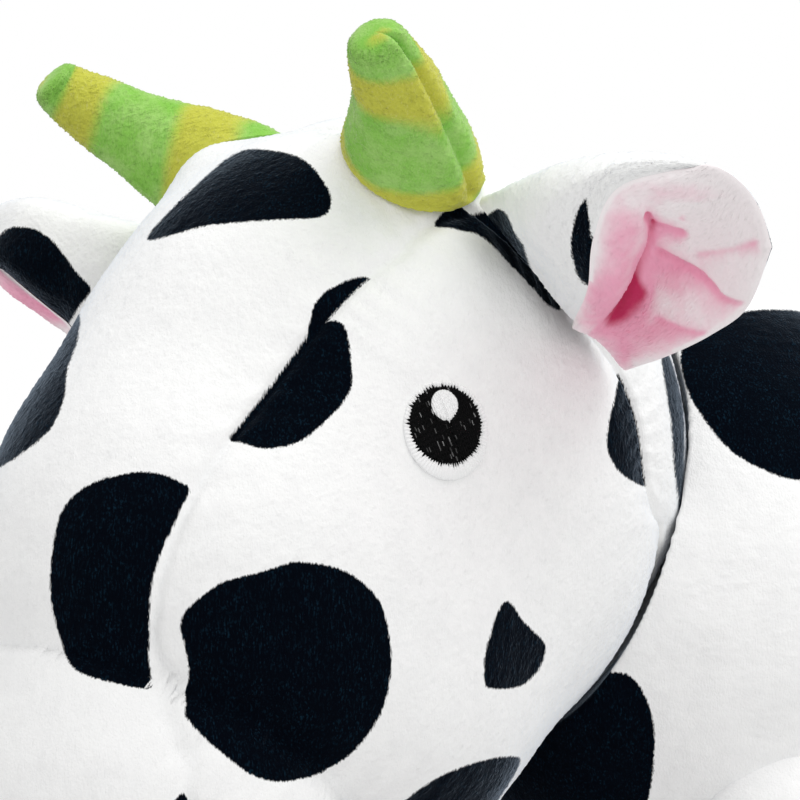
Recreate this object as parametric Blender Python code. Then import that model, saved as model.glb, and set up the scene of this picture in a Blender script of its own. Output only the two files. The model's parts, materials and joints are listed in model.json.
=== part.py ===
"""A standing plush cow: stuffed body and head, folded two-layer ears, soft horns, sewn legs with hooves, and a tail.

The toy faces -Y, its left side is +X and it stands on Z = 0. The body and the head are swellings worked out as the
smooth union of a few ellipsoids, seen from the middle of each form. Every moving piece has its origin on the axis
that it turns on, and the piece that carries it has a pocket of the same centre, so it turns without catching.
"""

import math
from dataclasses import dataclass

import bmesh
import bpy
import numpy as np
from mathutils import Vector

# Fits
SEWN_GAP = 0.0003
CUT_OVERRUN = 0.010

# Body: three swellings in a row, chest, barrel and rump
BELLY_HEIGHT = 0.061
CHEST_HALF_SIZES = (0.050, 0.048, 0.058)
BARREL_HALF_SIZES = (0.054, 0.075, 0.058)
RUMP_HALF_SIZES = (0.050, 0.045, 0.057)
CHEST_RISE = 0.002
RUMP_RISE = 0.003
CHEST_TO_BARREL = 0.047
BARREL_TO_RUMP = 0.050
BODY_SOFTNESS = 0.006
BODY_LOOPS = 22
BODY_SIDES = 34

# Head: skull, face and snout swellings, placed from the head's middle
HEAD_RISE = 0.026
NECK_SINK = 0.035
SKULL_HALF_SIZES = (0.044, 0.058, 0.056)
SKULL_BACK = 0.007
SKULL_RISE = 0.004
FACE_HALF_SIZES = (0.043, 0.051, 0.043)
FACE_FORE = 0.022
FACE_DROP = 0.025
FACE_TILT = -38.0
SNOUT_HALF_SIZES = (0.036, 0.033, 0.035)
SNOUT_FORE = 0.044
SNOUT_DROP = 0.054
HEAD_SOFTNESS = 0.007
HEAD_SIDES = 44

# Seams of the face: the gusset down the middle is sewn to the two cheeks
GUSSET_HALF_WIDTH = 0.031
GUSSET_WIDTH_SHARES = ((-180, 1.0), (-60, 1.06), (-40, 1.0), (-28, 0.82), (-15, 0.77), (10, 0.88), (45, 0.97), (180, 1.0))
GUSSET_SEAM_RANGE = (-85.0, 95.0)
SEAM_DEPTH = 0.0012
SEAM_WIDTH = 0.0022
GUSSET_COLUMN_SHARES = (0.0, 0.45, 0.84, 1.0)
CHEEK_COLUMN_SHARES = (0.07, 0.24, 0.43, 0.62, 0.80, 0.93)

# Muzzle: the nose end of the snout, a separate puffed pad behind its own seam
MUZZLE_SEAM_DROP = 0.064
MUZZLE_SEAM_FORE = 0.052
MUZZLE_SEAM_TILT = 62.0
MUZZLE_PUFF = 0.0012
MUZZLE_LOOPS = 7
MUZZLE_SIDES = 28
MUZZLE_SPREAD = 44.0
NOSTRIL_HALF_SIZES = (0.0036, 0.0026)
NOSTRIL_SIDE_ANGLE = 17.0
NOSTRIL_DROP_ANGLE = 52.0

# Eyes, embroidered patches that follow the cheek
EYE_HALF_SIZES = (0.0076, 0.0084)
EYE_SIDE_ANGLE = 66.0
EYE_RISE_ANGLE = 22.0
STITCH_HEIGHT = 0.0009
STITCH_EDGE_SHARE = 0.45
EYE_RINGS = 3
EYE_SIDES = 20

# Neck: the head turns on an upright axis behind the middle of the skull
NECK_AXIS_BACK = 0.022
NECK_SWING = 8.0
NECK_LOOKS = 5
NECK_LEVELS = 18
NECK_SIDES = 40
FARTHEST_SKIN = 0.2

# Horns
HORN_RADIUS = 0.0115
HORN_SIDE_ANGLE = 22.5
HORN_RISE_ANGLE = 84.0
HORN_SEAT_RISE = 0.001
HORN_OUT = 0.018
HORN_FORE = 0.026
HORN_UP = 0.018
HORN_BEND_SHARES = ((0.36, 0.22, 0.24), (0.88, 0.69, 0.56))
HORN_SWING = 15.0
HORN_RADIUS_SHARES = ((0.0, 1.0), (0.2, 0.95), (0.4, 0.80), (0.6, 0.64), (0.8, 0.49), (0.92, 0.41), (0.98, 0.26))
HORN_LOOPS = 8
HORN_SIDES = 16
DOME_LOOPS = 4
ROOM_LOOPS = 7
ROOM_SIDES = 40

# Ears: a leaf of plush and lining, folded along its spine and sewn into the seam behind the cheek
EAR_SIDE_ANGLE = 51.7
EAR_RISE_ANGLE = 108.4
EAR_SEAM_TURN = 0.0
EAR_SEAM_FORWARD = (0.27, 0.63, -0.73)
EAR_SEAM_RADIUS = 0.0044
EAR_LONG = 0.055
EAR_WIDE = 0.040
EAR_DEEP = 0.020
EAR_SHELL = 0.0016
EAR_LINING = 0.0012
# Rows from the seam to the tip, columns from the front edge over the spine to the rear edge. Each place is the share
# of EAR_WIDE along the seam, of EAR_LONG out from it and of EAR_DEEP towards the front.
EAR_NET_SHARES = (
    ((0.15, 0.09, 0.12), (-0.12, 0.09, 0.15), (-0.42, 0.09, 0.00), (-0.02, 0.09, -0.15), (0.42, 0.09, -0.12)),
    ((-0.02, 0.29, 0.65), (-0.35, 0.29, 0.85), (-0.50, 0.31, 0.30), (0.05, 0.16, -0.22), (0.47, 0.24, 0.45)),
    ((-0.22, 0.49, 0.85), (-0.45, 0.51, 1.00), (-0.50, 0.62, 0.40), (0.12, 0.31, -0.10), (0.45, 0.49, 0.60)),
    ((-0.38, 0.65, 0.90), (-0.50, 0.71, 1.00), (-0.38, 0.85, 0.40), (0.15, 0.62, 0.10), (0.38, 0.73, 0.80)),
    ((-0.30, 0.87, 1.00), (-0.30, 0.93, 0.95), (-0.20, 1.00, 0.85), (-0.02, 0.98, 0.85), (0.15, 0.93, 0.90)),
)
EAR_ROWS = 9
EAR_COLUMNS = 13

# Legs and hooves
LEG_RADIUS = 0.021
LEG_RADIUS_SHARES = ((0.0, 1.0), (0.25, 0.97), (0.5, 0.91), (0.75, 0.86), (1.0, 0.85))
LEG_HALF_TRACK = 0.030
LEG_SINK = 0.010
FORELEG_FORE = 0.006
HINDLEG_BACK = 0.004
HOOF_HEIGHT = 0.020
HOOF_RADIUS = 0.0193
HOOF_EDGE = 0.006
SOLE_FLAT_DEPTH = 0.0005
LEG_SWING = 15.0
LEG_SIDES = 20
SHAFT_LOOPS = 5
ROUND_LOOPS = 4

# Tail and its tuft
TAIL_RADIUS = 0.0042
TAIL_BALL_RADIUS = 0.0055
TAIL_ROOT_ANGLE = 28.0
TAIL_BACK = 0.014
TAIL_DROP = 0.070
TAIL_SEAT_RISE = 0.001
TAIL_LOOPS = 8
TAIL_SIDES = 12
TUFT_LENGTH = 0.034
TUFT_RADIUS = 0.0105
TUFT_RADIUS_SHARES = ((0.0, 0.38), (0.12, 0.62), (0.35, 0.95), (0.6, 1.0), (0.8, 0.78), (0.94, 0.40))

AROUND = 2.0 * math.pi
UP = np.array((0.0, 0.0, 1.0))
RIGHT = np.array((1.0, 0.0, 0.0))
MINUS_X = np.array((-1.0, 1.0, 1.0))


@dataclass(frozen=True)
class Finish:
    """Colour, roughness and name of one cloth."""

    name: str
    colour: tuple
    roughness: float


WHITE_PLUSH = Finish("white_plush", (0.90, 0.90, 0.88), 0.95)
PRINTED_PLUSH = Finish("printed_plush", (0.86, 0.86, 0.85), 0.95)
NAVY_PLUSH = Finish("navy_plush", (0.012, 0.02, 0.035), 0.95)
PINK_PLUSH = Finish("pink_plush", (0.86, 0.47, 0.60), 0.9)
GREEN_PLUSH = Finish("green_plush", (0.33, 0.56, 0.16), 0.9)
BLACK_THREAD = Finish("black_thread", (0.006, 0.006, 0.007), 0.5)
ROSE_THREAD = Finish("rose_thread", (0.55, 0.12, 0.25), 0.5)


@dataclass(frozen=True)
class Lobe:
    """One ellipsoid of a swelling: its middle, its half sizes and its tilt about X in degrees."""

    middle: tuple
    half_sizes: tuple
    tilt: float = 0.0

    def reach(self, directions):
        """How far a ray from the form's middle goes before it leaves this ellipsoid, 0 where it misses."""
        c, s = math.cos(math.radians(self.tilt)), math.sin(math.radians(self.tilt))
        turn = np.array(((1, 0, 0), (0, c, -s), (0, s, c)))
        ray = directions @ turn / np.array(self.half_sizes)
        start = -np.array(self.middle) @ turn / np.array(self.half_sizes)
        a, b, rest = (ray * ray).sum(-1), ray @ start, start @ start - 1
        root = b * b - a * rest
        return np.where(root > 0, (np.sqrt(np.maximum(root, 0)) - b) / a, 0)


@dataclass(frozen=True)
class Form:
    """A stuffed form: the smooth union of lobes, seen from its middle in the toy's frame."""

    middle: tuple
    lobes: tuple
    softness: float

    def radius(self, directions):
        """Distance from the middle to the skin along each direction."""
        reaches = np.stack([lobe.reach(directions) for lobe in self.lobes])
        most = reaches.max(0)
        return most + self.softness * np.log(np.exp((reaches - most) / self.softness).sum(0))

    def skin(self, directions, lift=0.0):
        """Points of the skin in the toy's frame, raised by lift."""
        directions = directions / np.linalg.norm(directions, axis=-1, keepdims=True)
        return np.array(self.middle) + directions * (self.radius(directions) + lift)[..., None]

    def reach_from(self, place, directions):
        """How far rays from another place inside the form go before they leave it, by halving the doubt."""
        start = np.asarray(place) - self.middle
        near, far = np.zeros(directions.shape[:-1]), np.full(directions.shape[:-1], FARTHEST_SKIN)
        for _ in range(24):
            trial = (near + far) / 2
            spot = start + directions * trial[..., None]
            length = np.linalg.norm(spot, axis=-1)
            outside = length > self.radius(spot / length[..., None])
            near, far = np.where(outside, near, trial), np.where(outside, trial, far)
        return far

    def normal(self, direction):
        """Outward normal of the skin at one direction."""
        direction = unit(direction)
        side, up = (step * math.radians(1) for step in frame_about(direction))
        west, east, south, north = self.skin(direction + np.stack((-side, side, -up, up)))
        normal = unit(np.cross(east - west, north - south))
        return normal if normal @ direction > 0 else -normal


def unit(vector):
    """The vector at length 1."""
    vector = np.asarray(vector, float)
    return vector / np.linalg.norm(vector)


def aim(rise, side):
    """Direction from angles in degrees: rise from straight ahead up over the head, side towards +X."""
    rise, side = np.radians(rise), np.radians(side)
    return np.stack((np.sin(side) + 0 * rise, -np.cos(side) * np.cos(rise), np.cos(side) * np.sin(rise)), -1)


def compass(turn, rise):
    """Direction from angles in radians: turn from +Y towards +X, rise above the level."""
    return np.stack((np.sin(turn) * np.cos(rise), np.cos(turn) * np.cos(rise), np.sin(rise) + 0 * turn), -1)


def body_form():
    """Chest, barrel and rump in a row. The chest lies behind the skull, which sinks into it by NECK_SINK."""
    barrel_z = BELLY_HEIGHT + BARREL_HALF_SIZES[2]
    chest_y = SKULL_BACK + SKULL_HALF_SIZES[1] + CHEST_HALF_SIZES[1] - NECK_SINK
    barrel_y = chest_y + CHEST_TO_BARREL
    lobes = (
        Lobe((0, -CHEST_TO_BARREL, CHEST_RISE), CHEST_HALF_SIZES),
        Lobe((0, 0, 0), BARREL_HALF_SIZES),
        Lobe((0, BARREL_TO_RUMP, RUMP_RISE), RUMP_HALF_SIZES),
    )
    return Form((0, barrel_y, barrel_z), lobes, BODY_SOFTNESS)


def head_form():
    """Skull, face and snout about the head's middle, which is the toy's Y = 0."""
    lobes = (
        Lobe((0, SKULL_BACK, SKULL_RISE), SKULL_HALF_SIZES),
        Lobe((0, -FACE_FORE, -FACE_DROP), FACE_HALF_SIZES, FACE_TILT),
        Lobe((0, -SNOUT_FORE, -SNOUT_DROP), SNOUT_HALF_SIZES),
    )
    return Form((0, 0, BELLY_HEIGHT + BARREL_HALF_SIZES[2] + HEAD_RISE), lobes, HEAD_SOFTNESS)


def material(finish):
    """A Principled material of one cloth, made once."""
    made = bpy.data.materials.get(finish.name)
    if made is None:
        made = bpy.data.materials.new(finish.name)
        made.use_nodes = True
        shader = made.node_tree.nodes["Principled BSDF"]
        shader.inputs["Base Color"].default_value = (*finish.colour, 1)
        shader.inputs["Roughness"].default_value = finish.roughness
        made.diffuse_color = (*finish.colour, 1)
    return made


def add_object(name, points, faces, finish, origin, toy):
    """Adds a closed mesh whose points are in the toy's frame, with its object's origin at the given place."""
    mesh = bpy.data.meshes.new(name)
    mesh.from_pydata((np.asarray(points) - origin).tolist(), [], faces)
    shell = bmesh.new()
    shell.from_mesh(mesh)
    bmesh.ops.recalc_face_normals(shell, faces=shell.faces)
    shell.to_mesh(mesh)
    shell.free()
    if finish is not None:
        mesh.materials.append(material(finish))
    mesh.shade_smooth()
    obj = bpy.data.objects.new(name, mesh)
    obj.location = origin
    obj.parent = toy
    bpy.context.scene.collection.objects.link(obj)
    return obj


def add_stack(name, loops, ends, finish, origin, toy):
    """A closed form from loops of points, one after another, with a point that closes each end."""
    loops = np.asarray(loops)
    count, sides = loops.shape[:2]
    points = np.concatenate((loops.reshape(-1, 3), np.asarray(ends)))
    first, last = count * sides, count * sides + 1
    faces = []
    for side in range(sides):
        beside = (side + 1) % sides
        faces.append((first, side, beside))
        faces.append((last, last - 1 - sides + beside, last - 1 - sides + side))
        for row in range(count - 1):
            low, high = row * sides, (row + 1) * sides
            faces.append((low + side, high + side, high + beside, low + beside))
    return add_object(name, points, faces, finish, origin, toy)


def add_sheet(name, outer, inner, finish, origin, toy):
    """A closed sheet between two grids of points, with its four edges closed by strips."""
    rows, columns = outer.shape[:2]
    points = np.concatenate((outer.reshape(-1, 3), inner.reshape(-1, 3)))
    under = rows * columns
    faces = []
    for row in range(rows - 1):
        for column in range(columns - 1):
            a, b = row * columns + column, (row + 1) * columns + column
            faces.append((a, b, b + 1, a + 1))
            faces.append((under + a, under + a + 1, under + b + 1, under + b))
    for row in range(rows - 1):
        for column in (0, columns - 1):
            a, b = row * columns + column, (row + 1) * columns + column
            faces.append((a, b, under + b, under + a))
    for column in range(columns - 1):
        for row in (0, rows - 1):
            a = row * columns + column
            faces.append((a, a + 1, under + a + 1, under + a))
    return add_object(name, points, faces, finish, origin, toy)


def cut(obj, cutter):
    """Takes the cutter's room out of an object, and keeps the cutter as a guide that isn't rendered."""
    cutter.hide_render = True
    cutter.display_type = "WIRE"
    modifier = obj.modifiers.new(cutter.name, "BOOLEAN")
    modifier.operation = "DIFFERENCE"
    modifier.solver = "EXACT"
    modifier.object = cutter


def keep_side(obj, point, normal):
    """Keeps what lies behind a plane of the toy's frame, and closes the cut with a flat face."""
    shell = bmesh.new()
    shell.from_mesh(obj.data)
    place = Vector(point) - obj.location
    whole = [*shell.verts, *shell.edges, *shell.faces]
    bmesh.ops.bisect_plane(shell, geom=whole, plane_co=place, plane_no=Vector(normal), clear_outer=True)
    rim = [edge for edge in shell.edges if edge.is_boundary]
    bmesh.ops.contextual_create(shell, geom=rim)
    bmesh.ops.recalc_face_normals(shell, faces=shell.faces)
    shell.to_mesh(obj.data)
    shell.free()


def spread(start, end, count):
    """Evenly spread values with both ends."""
    return np.linspace(start, end, count)


def table(shares, places):
    """Reads a table of (place, share) pairs."""
    return np.interp(places, *np.array(shares).T)


def frame_about(axis):
    """Two directions square to an axis and to each other."""
    side = unit(np.cross(axis, (0.0, 1.0, 0.0) if abs(axis[1]) < 0.9 else (1.0, 0.0, 0.0)))
    return side, np.cross(axis, side)


def ring(middle, axis, radius, sides):
    """A circle of points about an axis."""
    side, up = frame_about(axis)
    angles = spread(0, AROUND, sides + 1)[:-1, None]
    return middle + radius * (np.cos(angles) * side + np.sin(angles) * up)


def ball_loops(middle, axis, radius, sides, start, end, count=DOME_LOOPS):
    """Loops of a ball between two latitudes in degrees, counted from its equator towards the axis."""
    latitudes = np.radians(spread(start, end, count))
    return [ring(middle + axis * radius * math.sin(a), axis, radius * math.cos(a), sides) for a in latitudes]


def add_ball(name, middle, radius, toy):
    """A plain ball, used as a cutter for a pocket."""
    axis = np.array((0.0, 0.0, 1.0))
    step = math.degrees(math.pi) / (DOME_LOOPS * 3)
    latitudes = np.radians(spread(step - 90, 90 - step, DOME_LOOPS * 3 - 1))
    loops = [ring(middle + axis * radius * math.sin(a), axis, radius * math.cos(a), TAIL_SIDES * 2) for a in latitudes]
    return add_stack(name, loops, (middle - axis * radius, middle + axis * radius), None, middle, toy)


def add_room(name, pivot, ahead, hinge, radius, swing, toy):
    """The room of a swinging piece with a ball end: its ball, and ahead of it a slot that widens with the swing."""
    wide = np.cross(ahead, hinge)
    angle = math.radians(swing)
    depth = radius + CUT_OVERRUN
    loops = []
    for height in (depth, 0):
        loop = ring(pivot + ahead * height, ahead, radius, ROOM_SIDES)
        widening = 1 / math.cos(angle) + height * math.tan(angle) / radius - 1
        loops.append(loop + np.outer((loop - pivot) @ wide * widening, wide))
    loops += ball_loops(pivot, ahead, radius, ROOM_SIDES, -swing, -84, ROOM_LOOPS)
    return add_stack(name, loops, (pivot + ahead * depth, pivot - ahead * radius), None, pivot, toy)


def gusset_edge(rise):
    """Half-width of the face's gusset at a rise angle in degrees."""
    return GUSSET_HALF_WIDTH * table(GUSSET_WIDTH_SHARES, rise)


def head_skin(head, rise, side):
    """Skin of the head with the grooves of the two gusset seams pressed into it."""
    directions = aim(rise, side)
    plain = head.skin(directions)
    off_seam = (np.abs(plain[..., 0]) - gusset_edge(rise)) / SEAM_WIDTH
    low, high = GUSSET_SEAM_RANGE
    sewn = np.clip(np.minimum(rise - low, high - rise) / (high - low) * HEAD_SIDES / 4, 0, 1)
    return plain - directions * (SEAM_DEPTH * sewn * np.exp(-(off_seam**2)))[..., None]


def add_head_shell(name, head, finish, toy):
    """The whole head as loops about X, with a column of points along each gusset seam."""
    rise = spread(-180, 180, HEAD_SIDES + 1)[:-1]
    seam_side = np.full(HEAD_SIDES, EYE_RISE_ANGLE)
    for _ in range(8):
        reach = head.radius(aim(rise, seam_side))
        seam_side = np.degrees(np.arcsin(np.minimum(gusset_edge(rise) / reach, 0.95)))
    half = [seam_side * share for share in GUSSET_COLUMN_SHARES]
    half += [seam_side + (90 - seam_side) * share for share in CHEEK_COLUMN_SHARES]
    columns = [-side for side in half[:0:-1]] + half
    loops = [head_skin(head, rise, side) for side in columns]
    poles = [head.skin(RIGHT * x) for x in (-1.0, 1.0)]
    return add_stack(name, loops, poles, finish, head.middle, toy)


def add_snout_cap(name, head, finish, lift, toy):
    """The nose end of the head as loops about its own middle line, down to a point at the head's middle."""
    seam, ahead = muzzle_plane(head)
    tip = unit(seam + ahead * SNOUT_HALF_SIZES[2] / 2 - head.middle)
    loops = []
    for angle in np.radians(spread(0, MUZZLE_SPREAD, MUZZLE_LOOPS + 1)[1:]):
        loops.append(head.skin(ring(tip * math.cos(angle), tip, math.sin(angle), MUZZLE_SIDES), lift))
    return add_stack(name, loops, (head.skin(tip, lift), head.middle), finish, head.middle, toy)


def muzzle_plane(head):
    """Point and forward normal of the seam between the head and the muzzle."""
    tilt = math.radians(MUZZLE_SEAM_TILT)
    point = np.array(head.middle) - (0, MUZZLE_SEAM_FORE, MUZZLE_SEAM_DROP)
    return point, np.array((0, -math.cos(tilt), -math.sin(tilt)))


def add_patch(name, form, direction, half_sizes, lift, finish, toy):
    """An embroidered oval that lies on a form: a low dome of thread, thinner at its edge."""
    direction = unit(direction)
    side = unit(np.cross((0.0, 0.0, 1.0), direction))
    up = np.cross(direction, side)
    angles = spread(0, AROUND, EYE_SIDES + 1)[:-1, None]
    reach = form.radius(direction[None])[0]
    rings = []
    for share in spread(0, 1, EYE_RINGS + 1)[1:]:
        oval = half_sizes[0] * np.cos(angles) * side + half_sizes[1] * np.sin(angles) * up
        rings.append((direction + oval * share / reach, share))
    thick = [STITCH_HEIGHT * (1 - (1 - STITCH_EDGE_SHARE) * share**2) for _, share in rings]
    outer = [form.skin(aimed, lift + SEWN_GAP + high) for (aimed, _), high in zip(rings, thick)]
    inner = [form.skin(aimed, lift + SEWN_GAP) for aimed, _ in reversed(rings)]
    ends = (form.skin(direction, lift + SEWN_GAP + STITCH_HEIGHT), form.skin(direction, lift + SEWN_GAP))
    return add_stack(name, outer + inner, ends, finish, form.middle, toy)


def neck_pivot(head):
    """A point of the upright axis that the head turns on."""
    return np.array(head.middle) + (0, NECK_AXIS_BACK, 0)


def add_neck_room(head, toy):
    """The room that the head sweeps as it turns: its farthest skin at each turn, seen from a point of the axis."""
    pivot = neck_pivot(head)
    rise = np.radians(spread(-90, 90, NECK_LEVELS + 2)[1:-1])[:, None]
    swept = 0
    turn = spread(0, AROUND, NECK_SIDES + 1)[None, :-1]
    for swing in np.radians(spread(-NECK_SWING, NECK_SWING, NECK_LOOKS)):
        swept = np.maximum(swept, head.reach_from(pivot, compass(turn + swing, rise)))
    facets = math.cos(AROUND / NECK_SIDES / 2) * math.cos(math.pi / NECK_LEVELS / 2)
    loops = pivot + compass(turn, rise) * (swept / facets + SEWN_GAP)[..., None]
    ends = [pivot + head.reach_from(pivot, axis) * axis + axis * SEWN_GAP for axis in (-UP, UP)]
    return add_stack("neck_room", loops, ends, None, pivot, toy)


def add_body(body, toy):
    """The stuffed body, as loops about its length from the chest to the rump."""
    stretch = np.array((BARREL_HALF_SIZES[0], CHEST_TO_BARREL + BARREL_HALF_SIZES[1], BARREL_HALF_SIZES[2]))
    angles = spread(0, math.pi, BODY_LOOPS + 2)[1:-1]
    around = spread(0, AROUND, BODY_SIDES + 1)[:-1]
    loops = []
    for angle in angles:
        across, along = math.sin(angle), np.full(BODY_SIDES, -math.cos(angle))
        loops.append(body.skin(np.stack((across * np.sin(around), along, across * np.cos(around)), -1) * stretch))
    poles = [body.skin(np.array((0.0, y, 0.0))) for y in (-1.0, 1.0)]
    return add_stack("body", loops, poles, PRINTED_PLUSH, body.middle, toy)


def horn_path(head, mirror):
    """Seat of one horn and the curve that it follows, a cubic with its two bends as shares of its reach."""
    direction = aim(HORN_RISE_ANGLE, HORN_SIDE_ANGLE) * mirror
    seat = head.skin(direction, HORN_SEAT_RISE)
    reach = np.array((HORN_OUT, -HORN_FORE, HORN_UP)) * mirror
    first, second = (np.array(share) * reach for share in HORN_BEND_SHARES)
    t = spread(0, HORN_RADIUS_SHARES[-1][0], HORN_LOOPS)[:, None]
    curve = seat + 3 * first * t * (1 - t) ** 2 + 3 * second * t**2 * (1 - t) + reach * t**3
    slope = 3 * first * (1 - t) ** 2 + 6 * (second - first) * t * (1 - t) + 3 * (reach - second) * t**2
    return seat, t[:, 0], curve, slope / np.linalg.norm(slope, axis=1, keepdims=True), seat + reach


def add_horn(name, head, mirror, toy):
    """A soft tapered horn with a ball end. Gives it, the way it points and its hinge."""
    seat, t, curve, slope, tip = horn_path(head, mirror)
    hinge = unit(np.array((1.0, 0.0, 0.0)) - slope[0] * slope[0, 0])
    loops = ball_loops(seat, slope[0], HORN_RADIUS, HORN_SIDES, -70, -18)
    radii = HORN_RADIUS * table(HORN_RADIUS_SHARES, t)
    loops += [ring(place, ahead, radius, HORN_SIDES) for place, ahead, radius in zip(curve, slope, radii)]
    add_stack(name, loops, (seat - slope[0] * HORN_RADIUS, tip), GREEN_PLUSH, seat, toy)
    return seat, slope[0], hinge


def ear_frame(head, mirror):
    """Seat of one ear on the hinge line, and its directions along the seam, outward and to the front."""
    direction = aim(EAR_RISE_ANGLE, EAR_SIDE_ANGLE)
    out = head.normal(direction)
    along = np.array(EAR_SEAM_FORWARD)
    along = unit(along - out * (along @ out))
    seat = head.skin(direction) + out * EAR_SEAM_RADIUS
    shift = np.array(head.middle) * (0, 1, 1)
    seat = shift + (seat - shift) * mirror
    return seat, along * mirror, out * mirror, np.cross(along, out) * mirror


def blend_weights(count, places):
    """Weights of a clamped cubic curve with five control points, at places from 0 to 1."""
    knots = np.array((0, 0, 0, 0, 0.5, 1, 1, 1, 1))
    places = np.clip(places, 0, 1 - 1e-9)
    weights = [((knots[i] <= places) & (places < knots[i + 1])).astype(float) for i in range(len(knots) - 1)]
    for degree in (1, 2, 3):
        raised = []
        for i in range(len(weights) - 1):
            left, right = knots[i + degree] - knots[i], knots[i + degree + 1] - knots[i + 1]
            rising = (places - knots[i]) / left * weights[i] if left else 0
            falling = (knots[i + degree + 1] - places) / right * weights[i + 1] if right else 0
            raised.append(rising + falling)
        weights = raised
    return np.stack(weights[:count], -1)


def ear_leaf(rows, columns):
    """The folded leaf in the ear's own directions, and its normal towards the outside of the fold."""
    net = np.array(EAR_NET_SHARES) * (EAR_WIDE, EAR_LONG, EAR_DEEP)
    down = blend_weights(len(net), spread(0, 1, rows))
    over = blend_weights(len(net), spread(0, 1, columns))
    leaf = np.einsum("ui,vj,ijk->uvk", down, over, net)
    normal = np.cross(np.gradient(leaf, axis=0), np.gradient(leaf, axis=1))
    return leaf, normal / np.linalg.norm(normal, axis=-1, keepdims=True)


def round_seam(points):
    """Rounds the sewn edge of an ear about the hinge line, so that it can turn over the head."""
    reach = np.minimum(np.abs(points[0, :, 2]), EAR_SEAM_RADIUS * 0.98)
    points[0, :, 1] = SEWN_GAP - np.sqrt(EAR_SEAM_RADIUS**2 - reach**2)
    return points


def add_ear(side, head, mirror, toy):
    """The plush shell and the lining of one ear, one inside the other."""
    seat, along, out, fore = ear_frame(head, mirror)
    leaf, normal = ear_leaf(EAR_ROWS, EAR_COLUMNS)
    leaf[..., 1] -= EAR_SEAM_RADIUS
    half_gap = SEWN_GAP / 2
    layers = (
        (f"ear_{side}_shell", half_gap + EAR_SHELL, half_gap, PRINTED_PLUSH),
        (f"ear_{side}_lining", -half_gap, -half_gap - EAR_LINING, PINK_PLUSH),
    )
    for name, upper, lower, finish in layers:
        faces = [round_seam(leaf + normal * offset) for offset in (upper, lower)]
        placed = [seat + face @ np.stack((along, out, fore)) for face in faces]
        add_sheet(name, placed[0], placed[1], finish, seat, toy)
    return seat, along * mirror[0]


def leg_pivot(body, lobe, side, offset):
    """Middle of a leg's ball: sunk by LEG_SINK into the underside of the lobe that carries the leg."""
    middle = np.array(body.middle) + lobe.middle
    across = (LEG_HALF_TRACK / lobe.half_sizes[0]) ** 2 + (offset / lobe.half_sizes[1]) ** 2
    underside = middle[2] - lobe.half_sizes[2] * math.sqrt(max(1 - across, 0))
    return np.array((side * LEG_HALF_TRACK, middle[1] + offset, underside + LEG_SINK))


def add_leg(name, pivot, toy):
    """A tapered leg with a ball top, cut flat where its hoof is sewn on."""
    down = -UP
    loops = ball_loops(pivot, down, LEG_RADIUS, LEG_SIDES, -68, -17)
    heights = spread(0, pivot[2] - HOOF_HEIGHT - SEWN_GAP, SHAFT_LOOPS)
    radii = LEG_RADIUS * table(LEG_RADIUS_SHARES, spread(0, 1, SHAFT_LOOPS))
    loops += [ring(pivot + down * height, down, radius, LEG_SIDES) for height, radius in zip(heights, radii)]
    ends = (pivot - down * LEG_RADIUS, pivot + down * heights[-1])
    return add_stack(name, loops, ends, WHITE_PLUSH, pivot, toy)


def add_hoof(name, pivot, toy):
    """A rounded hoof: its crown's lowest half millimetre is cut flat to stand on."""
    up = UP
    sole = pivot * (1, 1, 0)
    crown = HOOF_HEIGHT + SOLE_FLAT_DEPTH
    top_radius = LEG_RADIUS * LEG_RADIUS_SHARES[-1][1]
    loops = [ring(sole + up * HOOF_HEIGHT, up, top_radius, LEG_SIDES)]
    loops.append(ring(sole + up * (HOOF_HEIGHT + HOOF_EDGE) / 2, up, HOOF_RADIUS, LEG_SIDES))
    for angle in np.radians(spread(0, 75, ROUND_LOOPS)):
        height = HOOF_EDGE * (1 - math.sin(angle)) * HOOF_HEIGHT / crown
        radius = HOOF_RADIUS - HOOF_EDGE * (1 - math.cos(angle))
        loops.append(ring(sole + up * height, up, radius, LEG_SIDES))
    loops.append(ring(sole, up, HOOF_RADIUS - HOOF_EDGE, LEG_SIDES))
    return add_stack(name, loops, (sole + up * HOOF_HEIGHT, sole), NAVY_PLUSH, pivot, toy)


def tail_root(body):
    """Middle of the tail's ball, on the skin of the rump, and the skin's normal there."""
    rise = math.radians(TAIL_ROOT_ANGLE)
    middle = np.array((0, BARREL_TO_RUMP, RUMP_RISE))
    spot = middle + (0, RUMP_HALF_SIZES[1] * math.cos(rise), RUMP_HALF_SIZES[2] * math.sin(rise))
    return body.skin(spot, TAIL_SEAT_RISE), body.normal(spot)


def tail_end(root):
    """Where the tail ends and its tuft begins."""
    return root + (0, TAIL_BACK, -TAIL_DROP)


def add_tail(root, ahead, toy):
    """A thin tube that leaves the rump squarely and bends down."""
    bend = ahead * TAIL_BACK / ahead[1]
    reach = tail_end(root) - root
    t = spread(0, 1, TAIL_LOOPS)[:, None]
    curve = root + 2 * bend * t * (1 - t) + reach * t**2
    slope = 2 * bend * (1 - 2 * t) + 2 * reach * t
    slope /= np.linalg.norm(slope, axis=1, keepdims=True)
    radii = TAIL_BALL_RADIUS + (TAIL_RADIUS - TAIL_BALL_RADIUS) * np.minimum(t[:, 0] * 3, 1)
    loops = ball_loops(root, slope[0], TAIL_BALL_RADIUS, TAIL_SIDES, -68, -20)
    side = np.array((1.0, 0.0, 0.0))
    angles = spread(0, AROUND, TAIL_SIDES + 1)[:-1, None]
    for place, ahead, radius in zip(curve, slope, radii):
        loops.append(place + radius * (np.cos(angles) * side + np.sin(angles) * np.cross(ahead, side)))
    loops[:DOME_LOOPS] = [turn_to(loop, root, slope[0], side) for loop in loops[:DOME_LOOPS]]
    return add_stack("tail", loops, (root - slope[0] * TAIL_BALL_RADIUS, curve[-1]), PRINTED_PLUSH, root, toy)


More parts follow.
